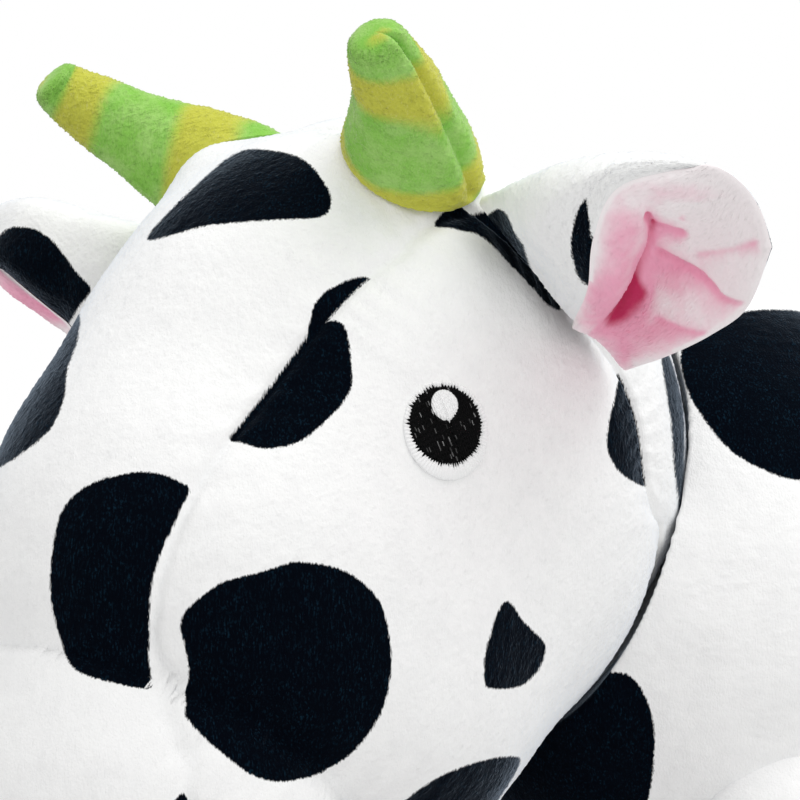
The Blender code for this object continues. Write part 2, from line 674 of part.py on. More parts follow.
def turn_to(loop, middle, axis, side):
    """Spins a loop about its axis so that its first point lies towards side, as its neighbours' do."""
    centre = middle + axis * ((loop[0] - middle) @ axis)
    radius = np.linalg.norm(loop[0] - centre)
    angles = spread(0, AROUND, len(loop) + 1)[:-1, None]
    return centre + radius * (np.cos(angles) * side + np.sin(angles) * np.cross(axis, side))


def add_tuft(root, toy):
    """The teardrop at the tail's end."""
    down = unit((0, 0, -1))
    top = tail_end(root) + down * SEWN_GAP
    loops = []
    for place, share in TUFT_RADIUS_SHARES:
        loops.append(ring(top + down * TUFT_LENGTH * place, down, TUFT_RADIUS * share, TAIL_SIDES))
    return add_stack("tail_tuft", loops, (top, top + down * TUFT_LENGTH), NAVY_PLUSH, root, toy)


def centre_toy(toy):
    """Moves the toy so that the middle of its outline stands over the origin."""
    bpy.context.view_layer.update()
    lengths = []
    for obj in bpy.data.objects:
        if obj.type == "MESH" and not obj.hide_render:
            lengths += [(obj.matrix_world @ corner.co).y for corner in obj.data.vertices]
    toy.location.y = -(min(lengths) + max(lengths)) / 2
    bpy.context.view_layer.update()


def main():
    """Builds the toy from the body outwards."""
    for old in list(bpy.data.objects):
        bpy.data.objects.remove(old)
    toy = bpy.data.objects.new("toy", None)
    bpy.context.scene.collection.objects.link(toy)

    body, head = body_form(), head_form()
    chest, _, rump = body.lobes
    pivots = {"head": (neck_pivot(head), (0, 0, 1))}

    trunk = add_body(body, toy)
    cut(trunk, add_neck_room(head, toy))

    shell = add_head_shell("head", head, PRINTED_PLUSH, toy)
    muzzle = add_snout_cap("muzzle", head, PINK_PLUSH, MUZZLE_PUFF, toy)
    seam, ahead = muzzle_plane(head)
    keep_side(shell, seam, ahead)
    keep_side(muzzle, seam + ahead * SEWN_GAP, -ahead)

    for side, mirror in (("left", np.ones(3)), ("right", MINUS_X)):
        eye = aim(EYE_RISE_ANGLE, EYE_SIDE_ANGLE) * mirror
        add_patch(f"eye_{side}", head, eye, EYE_HALF_SIZES, 0.0, BLACK_THREAD, toy)
        nostril = aim(-NOSTRIL_DROP_ANGLE, NOSTRIL_SIDE_ANGLE) * mirror
        add_patch(f"nostril_{side}", head, nostril, NOSTRIL_HALF_SIZES, MUZZLE_PUFF, ROSE_THREAD, toy)
        seat, slope, hinge = add_horn(f"horn_{side}", head, mirror, toy)
        room = HORN_RADIUS + SEWN_GAP
        cut(shell, add_room(f"horn_room_{side}", seat, slope, hinge, room, HORN_SWING, toy))
        pivots[f"horn_{side}"] = (seat, hinge)
        pivots[f"ear_{side}"] = add_ear(side, head, mirror, toy)
        for place, lobe, offset in (("front", chest, -FORELEG_FORE), ("hind", rump, HINDLEG_BACK)):
            pivot = leg_pivot(body, lobe, mirror[0], offset)
            add_leg(f"{place}_leg_{side}", pivot, toy)
            add_hoof(f"{place}_hoof_{side}", pivot, toy)
            room = LEG_RADIUS + SEWN_GAP
            cut(trunk, add_room(f"{place}_leg_room_{side}", pivot, -UP, RIGHT, room, LEG_SWING, toy))
            pivots[f"{place}_leg_{side}"] = (pivot, RIGHT)

    root, ahead = tail_root(body)
    add_tail(root, ahead, toy)
    add_tuft(root, toy)
    cut(trunk, add_ball("tail_pocket", root, TAIL_BALL_RADIUS + SEWN_GAP, toy))
    pivots["tail"] = (root, ahead)

    centre_toy(toy)
    for name, (place, axis) in pivots.items():
        x, y, z = toy.matrix_world @ Vector(place)
        print(f"{name} turns at {x:.5f} {y:.5f} {z:.5f} about {axis[0]:.4f} {axis[1]:.4f} {axis[2]:.4f}")


if __name__ == "__main__":
    main()
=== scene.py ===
"""A standing plush cow, dressed: short-pile cloth with a blotch print, sewn seams, lined ears and soft horns.

Lengths are millimetres in the toy's frame, as the CAD has it, and become metres where a mesh is made. The head and the
body are worked out by the same formula as their solids: the smooth union of ellipsoids, seen from one middle point.
"""

import json
import logging
import math
from dataclasses import dataclass, field
from enum import Enum
from typing import Callable, Iterable, Sequence

import bpy
import numpy as np
from mathutils import Matrix


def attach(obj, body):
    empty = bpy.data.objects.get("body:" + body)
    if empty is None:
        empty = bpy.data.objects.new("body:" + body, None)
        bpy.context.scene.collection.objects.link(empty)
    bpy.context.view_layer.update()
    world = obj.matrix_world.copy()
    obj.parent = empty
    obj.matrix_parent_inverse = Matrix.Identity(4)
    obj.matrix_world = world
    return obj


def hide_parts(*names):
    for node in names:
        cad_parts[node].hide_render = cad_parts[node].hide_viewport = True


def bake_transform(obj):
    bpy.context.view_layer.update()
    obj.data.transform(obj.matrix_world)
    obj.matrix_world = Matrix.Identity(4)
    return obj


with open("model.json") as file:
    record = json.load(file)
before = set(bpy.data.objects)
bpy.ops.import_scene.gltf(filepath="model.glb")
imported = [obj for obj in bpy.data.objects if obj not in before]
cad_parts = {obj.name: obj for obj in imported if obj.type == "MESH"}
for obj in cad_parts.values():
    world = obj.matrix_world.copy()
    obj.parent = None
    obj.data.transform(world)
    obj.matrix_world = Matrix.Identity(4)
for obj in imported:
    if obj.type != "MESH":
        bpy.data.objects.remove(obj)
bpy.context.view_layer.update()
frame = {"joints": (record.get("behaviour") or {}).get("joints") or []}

LOG = logging.getLogger("plush_cow")
MM = 0.001
AROUND = 2.0 * math.pi
UP = np.array((0.0, 0.0, 1.0))
RIGHT = np.array((1.0, 0.0, 0.0))
PIXELS_PER_MM = 6.0
UNPRINTED = -5.0
Point = tuple[float, float, float]
Pixel = tuple[float, float]
Colour = tuple[float, float, float]


class Side(Enum):
    """The cow's own left or right, as the sign of X."""

    LEFT = 1.0
    RIGHT = -1.0

    @property
    def word(self) -> str:
        """The word used in node names."""
        return self.name.lower()

    @property
    def mirror(self) -> np.ndarray:
        """Factors that take a point of the left side to this side."""
        return np.array((self.value, 1.0, 1.0))


class Panel(Enum):
    """The panel of cloth that a blotch is printed on."""

    ANY = "any"
    GUSSET = "gusset"
    CHEEK = "cheek"
    BACK = "back"


# Vectors, noise and curves


def unit(vector: Sequence[float] | np.ndarray) -> np.ndarray:
    """Vectors at length 1."""
    vector = np.asarray(vector, float)
    return vector / np.linalg.norm(vector, axis=-1, keepdims=True)


def smooth(low: float, high: float, value: np.ndarray) -> np.ndarray:
    """0 below low, 1 above high, and a smooth cubic between them."""
    share = np.clip((value - low) / (high - low), 0, 1)
    return share * share * (3 - 2 * share)


def bell(value: np.ndarray, width: float) -> np.ndarray:
    """1 at 0, falling to both sides: e to the power of minus the square of value over width."""
    return np.exp(-((value / width) ** 2))


def turns(count: int) -> np.ndarray:
    """Even angles round a circle, without its last point."""
    return np.linspace(0, AROUND, count + 1)[:-1]


def flat_ring(turn: np.ndarray) -> np.ndarray:
    """Directions in the level plane: cosine, sine and 0."""
    return np.stack((np.cos(turn), np.sin(turn), 0 * turn), -1)


def joint_place(name: str) -> np.ndarray:
    """Where the part's joint of that name sits, in millimetres."""
    return np.array(next(joint["pos_m"] for joint in frame["joints"] if joint["name"] == name)) / MM


def table(knots: Sequence[Pixel], value: np.ndarray) -> np.ndarray:
    """A smooth curve through a few knots, read at each value: even Catmull-Rom spans of the knots, then straight."""
    dense = through(np.asarray(knots, float), 12 * len(knots))
    return np.interp(value, dense[:, 0], dense[:, 1])


def lattice_noise(points: np.ndarray, size: float, seed: int) -> np.ndarray:
    """Smooth noise from -1 to 1.

    Each corner of a cubic cell has a value hashed from its whole coordinates; a point blends its cell's eight corners
    by the smooth cubic of its place between them.

    Args:
        points: places in millimetres.
        size: width of a cell in millimetres.
        seed: a number that picks the pattern.

    Returns:
        One value for each point.
    """
    cell = np.floor(points / size).astype(np.int64)
    part = points / size - cell
    part = part * part * (3 - 2 * part)
    total = np.zeros(points.shape[:-1])
    for corner in range(8):
        step = np.array((corner & 1, corner >> 1 & 1, corner >> 2 & 1))
        key = cell + step
        mixed = key[..., 0] * 73856093 ^ key[..., 1] * 19349663 ^ key[..., 2] * 83492791 ^ seed * 668265263
        mixed = (mixed ^ mixed >> 13) * 1274126177 & 0xFFFFFFFF
        mixed = (mixed ^ mixed >> 15) & 0xFFFF
        total += (mixed / 32767.5 - 1) * np.prod(np.where(step == 1, part, 1 - part), -1)
    return total


def through(knots: np.ndarray, count: int) -> np.ndarray:
    """An even smooth curve through points: Catmull-Rom spans along the first axis, with straight ends."""
    knots = np.asarray(knots, float)
    padded = np.concatenate((2 * knots[:1] - knots[1:2], knots, 2 * knots[-1:] - knots[-2:-1]))
    place = np.linspace(0, len(knots) - 1, count)
    span = np.minimum(place.astype(int), len(knots) - 2)
    t = (place - span).reshape(-1, *[1] * (knots.ndim - 1))
    a, b, c, d = (padded[span + i] for i in range(4))
    return b + t / 2 * (c - a + t * (2 * a - 5 * b + 4 * c - d + t * (3 * (b - c) + d - a)))


def round_outline(corners: Sequence[Pixel], per_side: int = 8) -> np.ndarray:
    """A closed outline through its corners, as Catmull-Rom spans."""
    knots = np.asarray(corners, float)
    wrapped = np.concatenate((knots[-2:], knots, knots[:3]))
    curve = through(wrapped, (len(wrapped) - 1) * per_side + 1)
    return curve[2 * per_side : (2 + len(knots)) * per_side]


def outline_distance(spots: np.ndarray, outline: np.ndarray) -> np.ndarray:
    """Signed distance to a closed outline, positive inside: the nearest side's distance, signed by crossings."""
    start, end = outline, np.roll(outline, -1, axis=0)
    side = end - start
    offset = spots[:, None] - start
    share = np.clip((offset * side).sum(-1) / np.maximum((side * side).sum(-1), 1e-9), 0, 1)
    distance = np.linalg.norm(offset - share[..., None] * side, axis=-1).min(1)
    rising = (start[:, 1] <= spots[:, None, 1]) != (end[:, 1] <= spots[:, None, 1])
    height = np.where(side[:, 1] == 0, 1e-9, side[:, 1])
    crossing = offset[..., 0] < side[:, 0] * offset[..., 1] / height
    inside = (rising & crossing).sum(1) % 2 == 1
    return np.where(inside, distance, -distance)


def line_distance(spots: np.ndarray, line: Sequence[Pixel]) -> tuple[np.ndarray, np.ndarray]:
    """Signed distance from each spot to an open smooth line, positive right of its way, and the share of the way."""
    curve = through(np.asarray(line, float), len(line) * 8)
    start, side = curve[:-1], curve[1:] - curve[:-1]
    offset = spots[:, None] - start
    share = np.clip((offset * side).sum(-1) / np.maximum((side * side).sum(-1), 1e-9), 0, 1)
    away = np.linalg.norm(offset - share[..., None] * side, axis=-1)
    nearest, each = away.argmin(1), np.arange(len(spots))
    turn = side[nearest, 0] * offset[each, nearest, 1] - side[nearest, 1] * offset[each, nearest, 0]
    return np.where(turn > 0, 1, -1) * away.min(1), (nearest + share[each, nearest]) / len(side)


# Surfaces as grids


@dataclass
class Surface:
    """Points and faces of one closed surface, and the values painted on its points.

    Attributes:
        points: one row of millimetres for each point.
        quads: rows of four point numbers.
        triangles: rows of three point numbers.
        paint: values by attribute name.
    """

    points: np.ndarray
    quads: np.ndarray
    triangles: np.ndarray = field(default_factory=lambda: np.zeros((0, 3), int))
    paint: dict[str, np.ndarray] = field(default_factory=dict)

    def normals(self) -> np.ndarray:
        """Outward normals of the points: the sum of their faces' area vectors."""
        total = np.zeros_like(self.points)
        for faces in (self.quads, self.triangles):
            if len(faces):
                corner = self.points[faces]
                area = np.cross(corner[:, 2] - corner[:, 0], corner[:, -1] - corner[:, 1])
                if faces.shape[1] == 3:
                    area = np.cross(corner[:, 1] - corner[:, 0], corner[:, 2] - corner[:, 0])
                for axis in range(3):
                    weights = np.repeat(area[:, axis], faces.shape[1])
                    total[:, axis] += np.bincount(faces.ravel(), weights, len(self.points))
        return total / np.maximum(np.linalg.norm(total, axis=1, keepdims=True), 1e-12)

    def face_out(self) -> "Surface":
        """Turns every face round if the closed surface has a negative volume."""
        split = np.concatenate((self.quads[:, (0, 1, 2)], self.quads[:, (0, 2, 3)], self.triangles))
        a, b, c = (self.points[split[:, i]] for i in range(3))
        if (a * np.cross(b, c)).sum() < 0:
            self.quads, self.triangles = self.quads[:, ::-1], self.triangles[:, ::-1]
        return self

    def raise_by(self, height: np.ndarray) -> "Surface":
        """Moves each point along its normal."""
        self.points = self.points + self.normals() * height[:, None]
        return self

    def mirrored(self, side: Side) -> "Surface":
        """The surface on the given side, with its faces still outwards."""
        if side is Side.LEFT:
            return self
        turned = Surface(self.points * side.mirror, self.quads[:, ::-1], self.triangles[:, ::-1], dict(self.paint))
        return turned

    def add(self, name: str, finish: "Cloth") -> bpy.types.Object:
        """Makes the mesh object at the origin, with its place in its mesh.

        Args:
            name: the piece's name.
            finish: the cloth or thread that covers it.

        Returns:
            The new object.
        """
        mesh = bpy.data.meshes.new(name)
        mesh.vertices.add(len(self.points))
        mesh.vertices.foreach_set("co", (self.points * MM).astype(np.float32).ravel())
        corners = np.concatenate((self.quads.ravel(), self.triangles.ravel())).astype(np.int32)
        quad_starts = np.arange(len(self.quads)) * 4
        starts = np.concatenate((quad_starts, len(self.quads) * 4 + np.arange(len(self.triangles)) * 3))
        mesh.loops.add(len(corners))
        mesh.loops.foreach_set("vertex_index", corners)
        mesh.polygons.add(len(starts))
        mesh.polygons.foreach_set("loop_start", starts.astype(np.int32))
        mesh.update(calc_edges=True)
        for key, values in self.paint.items():
            layer = mesh.attributes.new(key, "FLOAT", "POINT")
            layer.data.foreach_set("value", np.asarray(values, np.float32).ravel())
        mesh.shade_smooth()
        mesh.materials.append(finish.material())
        piece = bpy.data.objects.new(name, mesh)
        bpy.context.scene.collection.objects.link(piece)
        return piece


def ball_grid(steps: int) -> tuple[np.ndarray, np.ndarray]:
    """Directions of a cube blown up to a ball.

    Each of the six faces is a grid whose ticks are tangents of even angles; points on shared edges are one point.

    Args:
        steps: squares along one edge of the cube.

    Returns:
        Directions, and the quads between them.
    """
    ticks = np.tan(np.linspace(-math.pi / 4, math.pi / 4, steps + 1))
    u, v = np.meshgrid(ticks, ticks, indexing="ij")
    one = np.ones_like(u)
    sides = [(one, u, v), (-one, v, u), (v, one, u), (u, -one, v), (u, v, one), (v, u, -one)]
    points = np.concatenate([np.stack(side, -1).reshape(-1, 3) for side in sides])
    whole = np.round(points * 1e5).astype(np.int64)
    _, first, number = np.unique(whole, axis=0, return_index=True, return_inverse=True)
    number = number.reshape(6, steps + 1, steps + 1)
    quads = np.stack((number[:, :-1, :-1], number[:, 1:, :-1], number[:, 1:, 1:], number[:, :-1, 1:]), -1)
    return unit(points[first]), quads.reshape(-1, 4)


def wrap(grid: np.ndarray, ends: Iterable[np.ndarray], paint: dict[str, np.ndarray] | None = None) -> Surface:
    """A closed surface from loops of points and the two end points that close it.

    Args:
        grid: loops by points by three.
        ends: the point that closes the first loop and the one that closes the last.
        paint: values for the grid's points; an end takes the mean of its loop.

    Returns:
        The surface, facing out.
    """
    rows, sides = grid.shape[:2]
    number = np.arange(rows * sides).reshape(rows, sides)
    beside = np.roll(number, -1, axis=1)
    quads = np.stack((number[:-1], number[1:], beside[1:], beside[:-1]), -1).reshape(-1, 4)
    first = np.stack((np.full(sides, rows * sides), number[0], beside[0]), -1)
    last = np.stack((np.full(sides, rows * sides + 1), beside[-1], number[-1]), -1)
    points = np.concatenate((grid.reshape(-1, 3), np.asarray(list(ends))))
    spread = {}
    for key, values in (paint or {}).items():
        spread[key] = np.concatenate((values.ravel(), (values[0].mean(), values[-1].mean())))
    return Surface(points, quads, np.concatenate((first, last)), spread).face_out()


def pillow(outer: np.ndarray, inner: np.ndarray, paint: dict[str, tuple[np.ndarray, np.ndarray]]) -> Surface:
    """A closed sheet between two grids of points, with strips along its four edges.

    Args:
        outer: the grid on one face.
        inner: the grid on the other face, of the same shape.
        paint: values for the outer and the inner grid.

    Returns:
        The surface, facing out.
    """
    rows, columns = outer.shape[:2]
    top = np.arange(rows * columns).reshape(rows, columns)
    low = top + rows * columns
    faces = [np.stack((top[:-1, :-1], top[1:, :-1], top[1:, 1:], top[:-1, 1:]), -1).reshape(-1, 4)]
    faces.append(np.stack((low[:-1, :-1], low[:-1, 1:], low[1:, 1:], low[1:, :-1]), -1).reshape(-1, 4))
    rim = np.concatenate((top[0, :-1], top[:-1, -1], top[-1, :0:-1], top[:0:-1, 0]))
    after = np.roll(rim, -1)
    faces.append(np.stack((rim, after, after + rows * columns, rim + rows * columns), -1))
    points = np.concatenate((outer.reshape(-1, 3), inner.reshape(-1, 3)))
    spread = {key: np.concatenate([values.ravel() for values in pair]) for key, pair in (paint or {}).items()}
    return Surface(points, np.concatenate(faces), paint=spread).face_out()


def tube_grid(path: np.ndarray, radii: np.ndarray, sides: int, level: np.ndarray) -> np.ndarray:
    """Circles carried along a path: each lies square to the path, with its first point towards level."""
    ahead = unit(np.gradient(path, axis=0))
    out = unit(level - ahead * (ahead @ level)[:, None])
    over = np.cross(ahead, out)
    angle = turns(sides)[:, None]
    circle = np.cos(angle) * out[:, None] + np.sin(angle) * over[:, None]
    return path[:, None] + circle * radii.reshape(-1, 1, 1)


# The photograph's view and the stuffed forms


@dataclass(frozen=True)
class Lobe:
    """One ellipsoid of a stuffed form: its middle and half sizes from the form's middle, tilted about X in degrees."""

    middle: Point
    half_sizes: Point
    tilt: float = 0.0

    def reach(self, directions: np.ndarray) -> np.ndarray:
        """How far a ray from the form's middle goes before it leaves this ellipsoid, 0 where it misses."""
        c, s = math.cos(math.radians(self.tilt)), math.sin(math.radians(self.tilt))
        turn = np.array(((1, 0, 0), (0, c, -s), (0, s, c)))
        ray = directions @ turn / np.array(self.half_sizes)
        start = -np.array(self.middle) @ turn / np.array(self.half_sizes)
        a, b, rest = (ray * ray).sum(-1), ray @ start, start @ start - 1
        root = b * b - a * rest
        return np.where(root > 0, (np.sqrt(np.maximum(root, 0)) - b) / a, 0)


@dataclass(frozen=True)
class Form:
    """A stuffed form: the smooth union of lobes about its middle."""

    middle: Point
    lobes: tuple[Lobe, ...]
    softness: float

    def radius(self, directions: np.ndarray) -> np.ndarray:
        """Distance from the middle to the skin: the soft maximum of the lobes' reaches."""
        reaches = np.stack([lobe.reach(directions) for lobe in self.lobes])
        most = reaches.max(0)
        return most + self.softness * np.log(np.exp((reaches - most) / self.softness).sum(0))

    def skin(self, directions: np.ndarray, lift: float = 0.0) -> np.ndarray:
        """Points of the skin in the toy's frame, raised by lift."""
        directions = unit(directions)
        return np.array(self.middle) + directions * (self.radius(directions) + lift)[..., None]

    def height(self, points: np.ndarray) -> np.ndarray:
        """How far points lie above the skin, along the ray from the middle."""
        offset = points - np.array(self.middle)
        length = np.linalg.norm(offset, axis=-1)
        return length - self.radius(offset / np.maximum(length, 1e-6)[..., None])


def aim(rise: float | np.ndarray, side: float | np.ndarray) -> np.ndarray:
    """Direction from angles in degrees: rise from straight ahead up over the head, side towards +X."""
    rise, side = np.radians(rise), np.radians(side)
    return np.stack((np.sin(side) + 0 * rise, -np.cos(side) * np.cos(rise), np.cos(side) * np.sin(rise)), -1)


NECK = joint_place("head_turn")
HEAD_MIDDLE = NECK - (0, 22, 0)
HEAD = Form(
    tuple(HEAD_MIDDLE),
    (Lobe((0, 7, 4), (44, 58, 56)), Lobe((0, -22, -25), (43, 51, 43), -38.0), Lobe((0, -44, -54), (36, 33, 35))),
    7.0,
)
BODY = Form(
    tuple(HEAD_MIDDLE + (0, 125, -26)),
    (Lobe((0, -47, 2), (50, 48, 58)), Lobe((0, 0, 0), (54, 75, 58)), Lobe((0, 50, 3), (50, 45, 57))),
    6.0,
)


@dataclass(frozen=True)
class PhotoView:
    """The camera of the photograph, level with the head.

    Attributes:
        azimuth: degrees round the toy from its front towards its left.
        distance: millimetres from the head's middle plane to the lens.
        focal: focal length in pixels of the 800 pixel frame.
        shift: where the frame's middle lies right of and above the head's middle.
    """

    azimuth: float = 47.0
    distance: float = 650.0
    focal: float = 3900.0
    frame: float = 800.0
    shift: tuple[float, float] = (8.333, 11.667)

    @property
    def axes(self) -> np.ndarray:
        """Rows: the frame's right, its up, and the way back to the camera."""
        turn = math.radians(self.azimuth)
        return np.array(((math.cos(turn), math.sin(turn), 0), (0, 0, 1), (math.sin(turn), -math.cos(turn), 0)))

    @property
    def target(self) -> np.ndarray:
        """The point at the middle of the frame."""
        return HEAD_MIDDLE + np.array((*self.shift, 0)) @ self.axes

    @property
    def eye(self) -> np.ndarray:
        """The lens."""
        return self.target + self.axes[2] * self.distance

    def project(self, points: np.ndarray) -> np.ndarray:
        """Pixel right and down of each point: its offset over its depth, times the focal length."""
        offset = (points - self.target) @ self.axes.T
        scale = self.focal / (self.distance - offset[..., 2])
        return np.stack((offset[..., 0] * scale, -offset[..., 1] * scale), -1) + self.frame / 2

    def place(self, marks: Sequence[Sequence[float]] | np.ndarray) -> np.ndarray:
        """Points from marks of pixel right, pixel down and millimetres towards the camera."""
        marks = np.asarray(marks, float)
        scale = (self.distance - marks[..., 2]) / self.focal
        half = self.frame / 2
        offset = np.stack(((marks[..., 0] - half) * scale, (half - marks[..., 1]) * scale, marks[..., 2]), -1)
        return self.target + offset @ self.axes

    def facing(self, points: np.ndarray, normals: np.ndarray) -> np.ndarray:
        """Cosine between each normal and the way to the camera."""
        return (unit(self.eye - points) * normals).sum(-1)


PHOTO = PhotoView()


# The blotch print


@dataclass(frozen=True)
class Blotch:
    """A blotch that the photograph shows: its outline in pixels, its panel, and its reach past the horizon."""

    outline: tuple[Pixel, ...]
    panel: Panel = Panel.ANY
    past: float = 0.15


@dataclass(frozen=True)
class Spot:
    """A blotch on a side that the photograph hides: its middle from the form's middle, its radius and its wobble."""

    middle: Point
    radius: float
    wobble: float = 3.0


@dataclass(frozen=True)
class Print:
    """The blotches of one piece. The value is millimetres inside a blotch's edge, negative outside.

    Attributes:
        blotches: those that the photograph shows.
        spots: those on its hidden side.
        margin: pixels round a blotch that are still worked out.
        overlap: millimetres that a blotch runs on over its panel's seam.
        horizon: the cosine that spots keep past the view's horizon.
        fade: how steeply a blotch ends past the horizon, in millimetres for a cosine of 1.
        spot_fade: the same for a spot on the near side of the horizon.
    """

    blotches: tuple[Blotch, ...]
    spots: tuple[Spot, ...]
    margin: float = 30.0
    overlap: float = 0.4
    horizon: float = -0.03
    fade: float = 40.0
    spot_fade: float = 60.0

    def paint(
        self, points: np.ndarray, normals: np.ndarray, middle: np.ndarray, panels: dict[Panel, np.ndarray]
    ) -> np.ndarray:
        """Signed distance to the nearest blotch's edge.

        Args:
            points: the surface's points.
            normals: their outward normals.
            middle: the form's middle.
            panels: millimetres inside each panel, for the panels that cut blotches.

        Returns:
            Millimetres inside the print, one value a point.
        """
        best = np.full(len(points), UNPRINTED)
        marks = PHOTO.project(points)
        facing = PHOTO.facing(points, normals)
        for blotch in self.blotches:
            outline = round_outline(blotch.outline)
            low, high = outline.min(0) - self.margin, outline.max(0) + self.margin
            near = np.flatnonzero(((marks > low) & (marks < high)).all(1) & (facing > -blotch.past - 0.1))
            inside = outline_distance(marks[near], outline) / PIXELS_PER_MM
            inside = np.minimum(inside, (facing[near] + blotch.past) * self.fade)
            if blotch.panel in panels:
                inside = np.minimum(inside, panels[blotch.panel][near] + self.overlap)
            best[near] = np.maximum(best[near], inside)
        for number, spot in enumerate(self.spots):
            offset = points - middle - np.array(spot.middle)
            near = np.flatnonzero(np.linalg.norm(offset, axis=1) < spot.radius + spot.wobble + 6)
            bend = spot.wobble * lattice_noise(points[near], spot.radius * 0.9, 40 + number)
            inside = spot.radius + bend - np.linalg.norm(offset[near], axis=1)
            inside = np.minimum(inside, (self.horizon - facing[near]) * self.spot_fade)
            best[near] = np.maximum(best[near], inside)
        return np.maximum(best, UNPRINTED)


HEAD_PRINT = Print(
    blotches=(
        Blotch(((148, 240), (190, 190), (232, 152), (265, 147), (300, 155), (325, 182), (331, 203), (318, 215),
                (270, 218), (210, 225))),
        Blotch(((40, 340), (75, 313), (83, 320), (78, 345), (68, 370), (62, 400), (45, 432), (0, 466), (-30, 470),
                (-20, 400)), past=0.3),
        Blotch(((120, 473), (140, 470), (161, 472), (175, 477), (188, 485), (181, 502), (170, 526), (159, 551),
                (150, 581), (147, 610), (146, 636), (147, 663), (151, 684), (120, 683), (76, 670), (60, 640),
                (50, 600),
                (50, 560), (60, 512), (85, 485)), Panel.GUSSET),
        Blotch(((290, 330), (320, 318), (345, 325), (352, 370), (350, 390), (335, 412), (302, 440), (270, 447),
                (245, 440), (226, 424), (240, 370)), Panel.CHEEK),
        Blotch(((310, 340), (312, 312), (320, 295), (342, 280), (366, 271), (372, 278), (350, 300)), Panel.GUSSET),
        Blotch(((180, 627), (186, 610), (213, 588), (229, 580), (261, 572), (280, 566), (300, 562), (345, 571),
                (380, 600), (391, 640), (390, 682), (375, 725), (340, 764), (290, 781), (255, 775), (220, 750),
                (190, 720), (186, 708), (188, 669), (184, 645)), Panel.CHEEK),
        Blotch(((500, 612), (508, 602), (516, 606), (525, 620), (545, 641), (547, 652), (540, 670), (525, 685),
                (508, 689), (489, 688), (485, 680), (488, 650))),
        Blotch(((634, 366), (622, 388), (612, 420), (610, 450), (624, 474), (654, 488), (668, 480), (655, 420),
                (645, 372)), Panel.CHEEK),
        Blotch(((404, 812), (410, 797), (440, 775), (480, 760), (513, 756), (520, 764), (505, 792),
                (470, 830)), past=0.4),
        Blotch(((183, 793), (192, 804), (206, 822), (210, 846), (192, 862), (168, 856), (156, 834), (171, 806))),
        Blotch(((663, 350), (672, 356), (680, 385), (684, 420), (681, 519), (676, 480),
                (672, 420)), Panel.BACK, 0.3),
        Blotch(((440, 219), (450, 203), (462, 197), (478, 205), (500, 212), (530, 240), (556, 280), (566, 306),
                (553, 305), (543, 296), (529, 281), (508, 259), (484, 233), (462, 226))),
    ),
    spots=(
        Spot((-40, -30, 18), 12), Spot((-43, -8, -22), 15, 4), Spot((-38, 14, 30), 10), Spot((-30, 52, -8), 14, 4),
        Spot((-36, -48, -28), 13), Spot((12, 58, 26), 13, 4), Spot((-12, 20, 62), 12), Spot((0, 20, -50), 16, 4),
        Spot((-22, -30, -72), 11), Spot((-44, 22, -4), 8),
    ),
)
BODY_PRINT = Print(
    blotches=(
        Blotch(((681, 352), (700, 325), (745, 312), (800, 312), (860, 330), (880, 400), (850, 470), (800, 480),
                (760, 468), (725, 444), (690, 395)), past=0.3),
        Blotch(((590, 668), (606, 672), (626, 675), (641, 690), (652, 720), (654, 752), (648, 800), (630, 850),
                (540, 860), (500, 800)), past=0.3),
    ),
    spots=(
        Spot((-30, -40, 40), 16, 4), Spot((-46, 4, 8), 19, 5), Spot((-40, 62, 22), 17, 5), Spot((-38, 40, -36), 14, 4),
        Spot((-24, 30, 50), 14, 4), Spot((-20, 84, 6), 13, 4), Spot((34, 84, 16), 14, 4), Spot((0, -20, -58), 15, 4),
        Spot((-42, -34, -18), 12, 4), Spot((46, 40, -22), 17, 5),
    ),
)


# Finishes


